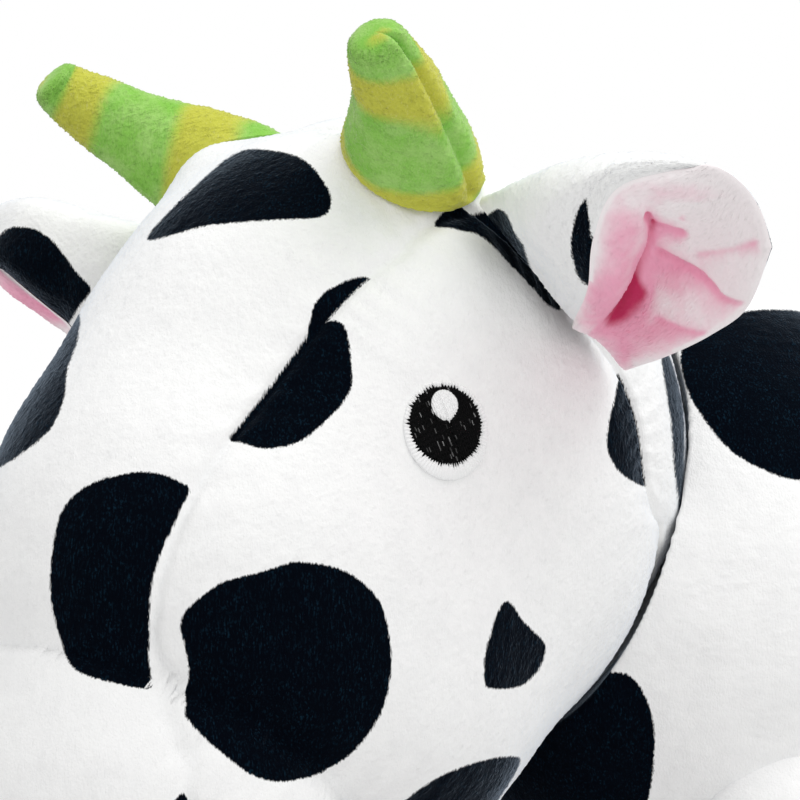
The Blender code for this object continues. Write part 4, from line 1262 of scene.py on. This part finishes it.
    def puff(self, shares: float) -> np.ndarray:
        """A rise from the edges to 1 over 1 / shares of the way, gentle at the front edge and round at the others."""
        down, over = np.linspace(0, 1, self.rows)[:, None], np.linspace(0, 1, self.columns)[None]
        edge = np.minimum((1 - over) * shares, (1 - down) * shares).clip(0, 1)
        return np.sqrt(1 - (1 - edge) ** 2) * smooth(0, 1, over * shares)

    def shell(self) -> bpy.types.Object:
        """The outer layer, puffed between its edges."""
        grid = self.net(self.shell_net, self.rows, self.columns)
        normal = self.normals(grid)
        over = np.linspace(0, 1, self.columns)[None] * np.ones((self.rows, 1))
        puff, thick = self.puff(7), self.puff(26)
        lumps = 0.28 * lattice_noise(grid, 11, 12) + 0.16 * lattice_noise(grid, 5, 13)
        nap = grid_pile(grid, 0.16, 41)
        outer = self.clear_head(grid - normal * (0.3 * thick + (0.25 + lumps) * puff + nap * thick)[..., None], 0.4)
        inner = self.clear_head(grid + normal * (0.02 + 0.14 * thick)[..., None], 0.25)
        paint = self.print(self.marks(grid), over).reshape(grid.shape[:2])
        surface = pillow(outer, inner, {"print": (paint, np.full_like(paint, UNPRINTED))})
        return self.finish(surface, self.name + "_shell", PRINTED_PLUSH)

    def print(self, marks: np.ndarray, over: np.ndarray) -> np.ndarray:
        """Millimetres inside the ear's blotches: on the front wall as the photograph shows them, and on the back."""
        front = over.ravel() < 0.5
        value = np.full(len(marks), UNPRINTED)
        for outlines, wall in ((self.front_print, front), (self.back_print, ~front)):
            for outline in outlines:
                inside = outline_distance(marks, round_outline(outline)) / PIXELS_PER_MM
                value = np.where(wall, np.maximum(value, inside), value)
        return np.clip(value, UNPRINTED, -UNPRINTED)

    def lining(self) -> bpy.types.Object:
        """The pink layer inside, with its creases pressed in and painted shade deepening its pink into the fold."""
        grid = self.net(self.lining_net, self.rows, self.columns)
        shell = self.net(self.shell_net, self.rows, self.columns)
        down, over = np.linspace(0, 1, self.rows)[:, None], np.linspace(0, 1, self.columns)[None]
        tip = smooth(0.82, 1.0, down)[..., None]
        grid = grid + tip * (shell[-1:] - grid[-1:])
        normal = self.normals(grid)
        marks = self.marks(grid)
        shape = grid.shape[:2]
        press, tone = np.zeros(shape), np.zeros(shape)
        for crease in self.creases:
            away, share = (values.reshape(shape) for values in line_distance(marks, crease.line))
            away, fade = away / PIXELS_PER_MM, smooth(-0.02, 0.12, share) * smooth(1.02, 0.75, share)
            press += crease.depth * fade * (bell(away, 0.6) + 0.5 * bell(away, 2.4))
            # Painted shade: the pink deepens along each crease and fans out to its right.
            tone += 0.5 * crease.tone * fade * bell(away, 0.55)
            tone += 0.3 * crease.tone * fade * bell(away, 1.7)
            tone += crease.fan * fade * smooth(-0.5, 0.6, away) * bell(away, crease.fan_width)
        puff, thick = self.puff(9), self.puff(26)
        # Painted shade: soft patches of deeper pink in the ear's hollow.
        for middle, half, least, strength in self.flush:
            away = np.hypot(*((marks - middle) / half).T).reshape(shape)
            tone += strength * np.exp(-(away**2)) * smooth(least - 0.05, least + 0.02, over)
        rim = np.minimum(np.minimum(over * 22, (1 - over) * 24), (1 - down) * 9)
        tone = (tone + 0.05 * lattice_noise(grid, 6, 15)) * smooth(0.0, 0.9, rim + 4 * (down < 0.3))
        nap = grid_pile(grid, 0.14, 51)
        lumps = 0.3 * lattice_noise(grid, 8, 14)
        rise = 0.04 + (0.2 + nap) * thick + (0.8 + lumps - press) * puff
        outer = self.clear_head(grid + normal * rise[..., None], 0.4)
        inner = self.clear_head(grid + normal * (np.minimum(0.05 - press, 0) * puff - 0.1 * thick)[..., None], 0.25)
        surface = pillow(outer, inner, {"tone": (tone, tone)})
        return self.finish(surface, self.name + "_lining", LINING_PLUSH)

    def finish(self, surface: Surface, node: str, finish: Cloth) -> bpy.types.Object:
        """Adds a layer, sets its sharp edges and hides the part that it stands for."""
        piece = surface.mirrored(self.side).add(node + "_plush", finish)
        piece.data.set_sharp_from_angle(angle=math.radians(55))
        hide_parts(node)
        self.name
        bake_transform(piece)
        return piece


@dataclass
class RightEar(Ear):
    """The right ear, whose front wall hangs lower and hides most of its lining."""

    side: Side = Side.RIGHT
    shell_net: Net = (
        ((210, 333, -41), (201, 301, -35), (196, 260, -29), (204, 217, -24), (237, 257, -30), (254, 311, -38),
         (264, 371, -47)),
        ((100, 342, -36), (110, 310, -30), (118, 265, -27), (140, 230, -28), (190, 245, -36), (225, 290, -45),
         (201, 350, -53)),
        ((62, 317, -40), (62, 290, -35), (70, 250, -34), (85, 217, -38), (150, 235, -46), (190, 285, -52),
         (145, 344, -60)),
        ((20, 283, -45), (10, 262, -42), (15, 230, -43), (30, 201, -48), (90, 222, -56), (120, 270, -60),
         (95, 319, -65)),
        ((-20, 249, -55), (-28, 244, -57), (-32, 233, -59), (-25, 218, -61), (-10, 232, -64), (5, 255, -67),
         (20, 275, -68)),
    )
    lining_net: Net = (
        ((210, 333, -41), (213, 340, -42), (222, 350, -43), (235, 358, -44), (245, 364, -45.5), (255, 369, -46.5),
         (264, 371, -47)),
        ((100, 343, -36), (104, 349, -40), (125, 351, -45), (150, 352, -48), (172, 352, -51), (188, 351, -52.5),
         (201, 350, -53)),
        ((62, 318, -40), (62, 325, -43), (75, 329, -48), (95, 331, -52), (115, 335, -56), (130, 340, -58.5),
         (145, 344, -60)),
        ((20, 284, -45), (17, 292, -47), (27, 299, -51), (45, 304, -55), (62, 310, -59), (80, 316, -62),
         (95, 319, -65)),
        ((-20, 249, -55), (-22, 255, -57), (-16, 262, -60), (-8, 267, -63), (2, 271, -65), (11, 273, -66.5),
         (20, 275, -68)),
    )
    # Painted shade: the crease and the patches deepen the lining's pink where it lies in shadow.
    creases: tuple[Crease, ...] = (Crease(((150, 352), (80, 325), (20, 292)), 0.8, 0.5),)
    flush: tuple[tuple[Pixel, Pixel, float, float], ...] = (
        ((170, 350), (70, 20), 0.0, 0.6), ((30, 295), (60, 30), 0.0, 0.45), ((-10, 260), (30, 20), 0.0, 0.3))
    front_print: tuple[tuple[Pixel, ...], ...] = (
        ((-10, 245), (0, 238), (10, 230), (25, 228), (38, 231), (53, 241), (66, 256), (80, 273), (93, 288),
         (84, 303),
         (66, 326), (55, 317), (40, 304), (20, 290), (0, 274), (-14, 262)),
    )
    back_print: tuple[tuple[Pixel, ...], ...] = (
        ((60, 225), (110, 240), (130, 275), (110, 300), (70, 280), (40, 250)),
    )
    name: str = "ear_right"


@dataclass
class Body:
    """The stuffed body, hollowed where the head sits."""

    steps: int = 170
    pile_height: float = 0.13
    swings: tuple[float, ...] = (-8.0, 0.0, 8.0)
    gap: float = 0.35

    def head_height(self, points: np.ndarray) -> np.ndarray:
        """Least height above the head's skin while the head turns about its neck."""
        least = np.full(points.shape[:-1], np.inf)
        for swing in self.swings:
            c, s = math.cos(math.radians(swing)), math.sin(math.radians(swing))
            turned = (points - NECK) @ np.array(((c, s, 0), (-s, c, 0), (0, 0, 1))) + NECK
            least = np.minimum(least, HEAD.height(turned))
        return least

    def radius(self, directions: np.ndarray) -> np.ndarray:
        """Distance to the skin, or to the head's room where a ray meets that first, found by steps and halvings."""
        plain = BODY.radius(directions)
        front = np.flatnonzero(directions[:, 1] < -0.2)
        rays, far = directions[front], plain[front]
        middle = np.array(BODY.middle)
        near = np.zeros_like(far)
        for share in np.linspace(0.3, 1.0, 29):
            reach = far * share
            met = (self.head_height(middle + rays * reach[:, None]) < self.gap) & (near == 0)
            near = np.where(met, reach, near)
        hit = near > 0
        low, high = np.where(hit, near - far * 0.025, far), np.where(hit, near, far)
        for _ in range(8):
            half = (low + high) / 2
            met = self.head_height(middle + rays * half[:, None]) < self.gap
            low, high = np.where(met, low, half), np.where(met, half, high)
        plain[front] = np.where(hit, low, far)
        return plain

    def build(self) -> list[bpy.types.Object]:
        """Makes the body and hides the part that it stands for."""
        directions, quads = ball_grid(self.steps)
        directions = unit(directions * (54, 96, 58))
        middle = np.array(BODY.middle)
        plain = Surface(middle + directions * BODY.radius(directions)[:, None], quads).face_out()
        normals = plain.normals()
        offset = directions * self.radius(directions)[:, None]
        skin = Surface(middle + offset, plain.quads)
        skin.paint["print"] = BODY_PRINT.paint(plain.points, normals, middle, {})
        open_skin = smooth(3.0, 0.2, BODY.radius(directions) - np.linalg.norm(offset, axis=1))
        top = np.abs(offset[:, 0])
        ridge = -(0.9 * bell(top, 1.0) + 0.6 * bell(top, 4.0)) * (offset[:, 2] > -20)
        lumps = 0.8 * lattice_noise(offset, 26, 25) + 0.35 * lattice_noise(offset, 10, 26)
        nap = pile(offset, self.pile_height, 61)
        skin.points = skin.points + normals * (open_skin * (ridge + lumps + nap))[:, None]
        body = skin.add("body_plush", PRINTED_PLUSH)
        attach(body, "body")
        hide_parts("body")
        return [body]


@dataclass
class Leg:
    """A stuffed leg that starts on the belly's skin, and its hoof.

    Attributes:
        place: front or hind.
        side: the cow's side.
        radii: the leg's radius at each share of the way from its pivot to the hoof.
        hoof_height: where the hoof's upper edge lies above the ground.
        hoof_radius: the hoof's greatest radius.
        sole_edge: radius of the round edge under the hoof.
        probes: places down the leg where it is tried against the body's skin.
    """

    place: str
    side: Side
    radii: tuple[Pixel, ...] = ((0.0, 21.0), (0.25, 20.4), (0.5, 19.1), (0.75, 18.1), (1.0, 17.85))
    hoof_height: float = 20.0
    hoof_radius: float = 19.3
    sole_edge: float = 6.0
    probes: int = 300
    rows: int = 130
    sides: int = 170

    @property
    def name(self) -> str:
        """The body's name in the CAD."""
        return f"{self.place}_leg_{self.side.word}"

    @property
    def pivot(self) -> np.ndarray:
        """The joint's place."""
        return joint_place(self.name + "_swing")

    def build(self) -> list[bpy.types.Object]:
        """Makes the leg and the hoof."""
        return [self.leg(), self.hoof()]

    def leg(self) -> bpy.types.Object:
        """Circles down from a dome round the pivot; each line starts where it leaves the body's skin."""
        pivot = self.pivot
        long = pivot[2] - self.hoof_height - 0.3
        turn = turns(self.sides)[None]
        depth = np.linspace(-0.3, 0.6, self.probes)[:, None]
        probe = self.circle(pivot, depth * long, self.radius(depth, long), turn)
        buried = np.where(BODY.height(probe) < 0.3, np.arange(self.probes)[:, None], -1).max(0)
        start = depth[np.clip(buried + 1, 0, self.probes - 1), 0]
        share = start + (1 - start) * np.linspace(0, 1, self.rows)[:, None]
        grid = self.circle(pivot, share * long, self.radius(share, long), turn)
        out = flat_ring(turn) * np.ones((self.rows, 1, 1))
        seam = np.minimum(np.abs(np.sin(turn / 2 + math.pi / 4)), np.abs(np.cos(turn / 2 + math.pi / 4))) * 30
        down = np.linspace(0, 1, self.rows)[:, None]
        pinch = -1.0 * bell(seam, 1.2) - 1.2 * np.exp(-((1 - down) / 0.03)) - 2.2 * bell(down, 0.09)
        lumps = 0.7 * lattice_noise(grid, 17, 33) + 0.3 * lattice_noise(grid, 7, 34)
        nap = grid_pile(grid, 0.15, 71)
        grid = grid + out * (pinch + (lumps + nap) * smooth(0.0, 0.03, down) * smooth(1.0, 0.97, down))[..., None]
        ends = (pivot - UP * (start.min() * long + 2.0), pivot - UP * long)
        spots = self.spots(grid)
        leg = wrap(grid, ends, {"print": spots}).add(f"{self.name}_plush", PRINTED_PLUSH)
        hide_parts(self.name)
        self.name
        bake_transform(leg)
        return leg

    def radius(self, share: np.ndarray, long: float) -> np.ndarray:
        """The leg's radius at a share of its length; above the pivot it is a half ball."""
        tube = table(self.radii, share)
        return np.sqrt(np.maximum(tube**2 - (np.minimum(share, 0) * long) ** 2, 1.0))

    def circle(self, pivot: np.ndarray, depth: np.ndarray, radius: np.ndarray, turn: np.ndarray) -> np.ndarray:
        """Points at depths below the pivot and angles round the leg."""
        flat = radius[..., None] * flat_ring(turn)
        return pivot + flat - (depth * np.ones_like(turn))[..., None] * UP

    def spots(self, grid: np.ndarray) -> np.ndarray:
        """Millimetres inside one or two blotches, whose places differ from leg to leg."""
        seed = 80 + 2 * (self.place == "hind") + (self.side is Side.LEFT)
        rng = np.random.default_rng(seed)
        value = np.full(grid.shape[:2], UNPRINTED)
        for _ in range(2):
            turn, share, radius = rng.random() * AROUND, 0.25 + 0.55 * rng.random(), 6 + 5 * rng.random()
            middle = self.pivot + (19 * math.cos(turn), 19 * math.sin(turn), -share * 60)
            bend = 3 * lattice_noise(grid, 10, seed)
            value = np.maximum(value, radius + bend - np.linalg.norm(grid - middle, axis=-1))
        return value

    def hoof(self) -> bpy.types.Object:
        """The dark foot: a drum with a round lower edge, flat under its sole."""
        sole = self.pivot * (1, 1, 0)
        bend = np.radians(np.linspace(0, 90, 16))
        edge = self.sole_edge
        heights = np.concatenate((np.linspace(self.hoof_height, edge, 40), edge - edge * np.sin(bend[1:])))
        wall = np.interp(np.linspace(0, 1, 40), (0, 0.12, 0.5, 1), (17.6, 18.6, 19.1, self.hoof_radius))
        radii = np.concatenate((wall, self.hoof_radius - edge * (1 - np.cos(bend[1:]))))
        heights = np.concatenate((heights, np.zeros(6)))
        radii = np.concatenate((radii, np.linspace(12, 2, 6)))
        turn = turns(self.sides)[None]
        flat = radii[:, None, None] * flat_ring(turn)
        grid = sole + flat + heights[:, None, None] * UP
        nap = grid_pile(grid, 0.2, 91)
        lift = smooth(0.5, 3.0, heights)[:, None] * smooth(self.hoof_height, self.hoof_height - 1, heights)[:, None]
        out = flat_ring(turn)
        cleft = -1.3 * bell(np.abs((turn + math.pi / 2 + math.pi) % AROUND - math.pi), 0.12)
        grid = grid + out * (lift * (nap + cleft + 0.4 * lattice_noise(grid, 9, 35)))[..., None]
        surface = wrap(grid, (sole + UP * self.hoof_height, sole))
        hoof = surface.add(f"{self.place}_hoof_{self.side.word}_plush", NAVY_PLUSH)
        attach(hoof, self.name)
        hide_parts(f"{self.place}_hoof_{self.side.word}")
        return hoof


@dataclass
class Tail:
    """A thin stuffed tail that leaves the rump squarely and hangs, and its tuft.

    Attributes:
        ahead: the way that the tail leaves the rump, half as long as its bend.
        drop: how far its end hangs below its root.
        radii: the tail's radius at each share of its way.
        spot_row: the row of the grid that its blotch lies round.
    """

    ahead: Point = (0, 14, 5.6)
    drop: float = 70.0
    spot_row: int = 95
    radii: tuple[Pixel, ...] = ((0.0, 5.6), (0.15, 4.9), (0.35, 4.4), (1.0, 4.1))
    sides: int = 60
    rows: int = 180

    def build(self) -> list[bpy.types.Object]:
        """Makes the tail along a bent line, and the tuft below its end."""
        root = joint_place("tail_swing")
        bend, end = np.array(self.ahead), np.array((0, self.ahead[1], -self.drop))
        share = np.linspace(0.02, 1, self.rows)[:, None]
        path = root + 2 * bend * share * (1 - share) + end * share**2
        places, sizes = np.array(self.radii).T
        grid = tube_grid(path, np.interp(share[:, 0], places, sizes), self.sides, RIGHT)
        nap = grid_pile(grid, 0.2, 101)
        out = unit(grid - path[:, None])
        grid = grid + out * ((nap + 0.3 * lattice_noise(grid, 6, 36)) * smooth(1, 0.98, share))[..., None]
        middle = path[self.spot_row] + (3.5, 2.0, 0.0)
        print_value = 6.5 + 4 * lattice_noise(grid, 9, 37) - np.linalg.norm((grid - middle) * (1, 1, 0.6), axis=-1)
        tail = wrap(grid, (path[0], path[-1]), {"print": print_value}).add("tail_plush", PRINTED_PLUSH)
        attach(tail, "tail")
        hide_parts("tail")
        return [tail, self.tuft(path[-1])]

    def tuft(self, top: np.ndarray) -> bpy.types.Object:
        """A teardrop of locks: its radius ripples round it and the ripples drift as they go down."""
        share = np.linspace(0.01, 0.99, 90)[:, None]
        turn = turns(120)[None]
        radius = 10.4 * np.sin(math.pi * np.clip(share, 0, 1) ** 0.8) ** 0.75 + 0.6
        locks = 0.8 * np.cos(turn * 14 + 5 * share) * share + 0.5 * np.cos(turn * 5 - 3 * share)
        flat = (radius * (1 + 0.05 * locks))[..., None] * flat_ring(turn)
        grid = top + flat - (0.5 + share * 33)[..., None] * UP
        nap = grid_pile(grid, 0.5, 111)
        grid = grid + unit(flat) * nap[..., None] * smooth(0.02, 0.1, share)[..., None]
        tuft = wrap(grid, (top - UP * 0.4, top - UP * 34)).add("tail_tuft_plush", NAVY_PLUSH)
        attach(tuft, "tail")
        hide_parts("tail_tuft")
        return tuft


# The studio


@dataclass
class Studio:
    """Floor, lamps, white surroundings and the camera at the photograph's view."""

    floor_radius: float = 850.0
    sky: float = 0.82
    lens_sensor: float = 36.0

    def build(self) -> None:
        """Makes all of it."""
        self.floor()
        self.world()
        self.lamp("key_lamp", (300.0, 110.0, 950.0), 900.0, 4.7)
        self.lamp("fill_lamp", (650.0, -300.0, 300.0), 600.0, 0.3)
        self.camera()

    def floor(self) -> None:
        """A pale disc under the toy."""
        turn = turns(96)
        rim = flat_ring(turn) * self.floor_radius * MM
        mesh = bpy.data.meshes.new("floor")
        mesh.from_pydata([tuple(point) for point in rim], [], [tuple(range(96))])
        nodes = Nodes("floor_paper")
        nodes.shader.inputs["Base Color"].default_value = (0.64, 0.64, 0.64, 1)
        nodes.shader.inputs["Roughness"].default_value = 1.0
        mesh.materials.append(nodes.made)
        floor = bpy.data.objects.new("floor", mesh)
        bpy.context.scene.collection.objects.link(floor)

    def world(self) -> None:
        """White light from all round, and pure white where the camera or a glossy surface looks at it."""
        world = bpy.data.worlds.new("surroundings")
        world.use_nodes = True
        tree = world.node_tree
        back = tree.nodes["Background"]
        back.inputs["Color"].default_value = (1, 1, 1, 1)
        path = tree.nodes.new("ShaderNodeLightPath")
        seen = tree.nodes.new("ShaderNodeMath")
        seen.operation = "MAXIMUM"
        tree.links.new(path.outputs["Is Camera Ray"], seen.inputs[0])
        tree.links.new(path.outputs["Is Glossy Ray"], seen.inputs[1])
        level = tree.nodes.new("ShaderNodeMapRange")
        level.inputs["To Min"].default_value = self.sky
        level.inputs["To Max"].default_value = 1.0
        tree.links.new(seen.outputs[0], level.inputs["Value"])
        tree.links.new(level.outputs["Result"], back.inputs["Strength"])
        bpy.context.scene.world = world

    def lamp(self, name: str, place: Point, size: float, power: float) -> None:
        """A soft square lamp that looks at the head."""
        data = bpy.data.lights.new(name, "AREA")
        data.size, data.energy = size * MM, power
        lamp = bpy.data.objects.new(name, data)
        spot = np.array(place)
        back = unit(spot - HEAD_MIDDLE)
        across = unit(np.cross(UP, back))
        self.stand(lamp, spot, across, np.cross(back, across), back)
        bpy.context.scene.collection.objects.link(lamp)

    def stand(
        self, thing: bpy.types.Object, spot: np.ndarray, right: np.ndarray, up: np.ndarray, back: np.ndarray
    ) -> None:
        """Places a thing that looks against back."""
        turn = np.eye(4)
        turn[:3, 0], turn[:3, 1], turn[:3, 2], turn[:3, 3] = right, up, back, spot * MM
        thing.matrix_world = Matrix(turn.tolist())

    def camera(self) -> None:
        """The photograph's camera."""
        data = bpy.data.cameras.new("photo_camera")
        data.sensor_width = self.lens_sensor
        data.lens = self.lens_sensor * PHOTO.focal / PHOTO.frame
        data.clip_start, data.clip_end = 0.01, 50.0
        camera = bpy.data.objects.new("photo_camera", data)
        right, up, back = PHOTO.axes
        self.stand(camera, PHOTO.eye, right, up, back)
        bpy.context.scene.collection.objects.link(camera)
        bpy.context.scene.camera = camera


def main() -> None:
    """Builds the toy from the head outwards, then the studio."""
    logging.basicConfig(level=logging.INFO, format="%(message)s")
    view = bpy.context.scene.view_settings
    view.view_transform = "Standard"
    head = Head()
    makers: list[Callable[[], list[bpy.types.Object]]] = [head.build, Muzzle(head).build, Body().build, Tail().build]
    makers += [Ear().build, RightEar().build, Horn(Side.LEFT, head).build]
    right_bend = ((21.2, -6.6, 47.9), (27.0, -12.0, 52.6), (38.3, -23.6, 58.9), (40.6, -31.6, 66.2))
    makers.append(Horn(Side.RIGHT, head, right_bend, slim=0.94).build)
    for side in Side:
        eye, nostril = f"eye_{side.word}", f"nostril_{side.word}"
        makers.append(Eye(eye + "_thread", eye, side, 22.2, 66.0, (7.5, 7.9), 0.0, THREAD, 90, 620).build)
        hole = Patch(nostril + "_thread", nostril, side, -52.0, 17.0, (3.6, 2.6), 1.0, ROSE_THREAD, 24, 90)
        makers.append(hole.build)
        makers += [Leg("front", side).build, Leg("hind", side).build]
    for make in makers:
        for piece in make():
            LOG.info("%s has %d faces", piece.name, len(piece.data.polygons))
    Studio().build()


if __name__ == "__main__":
    main()
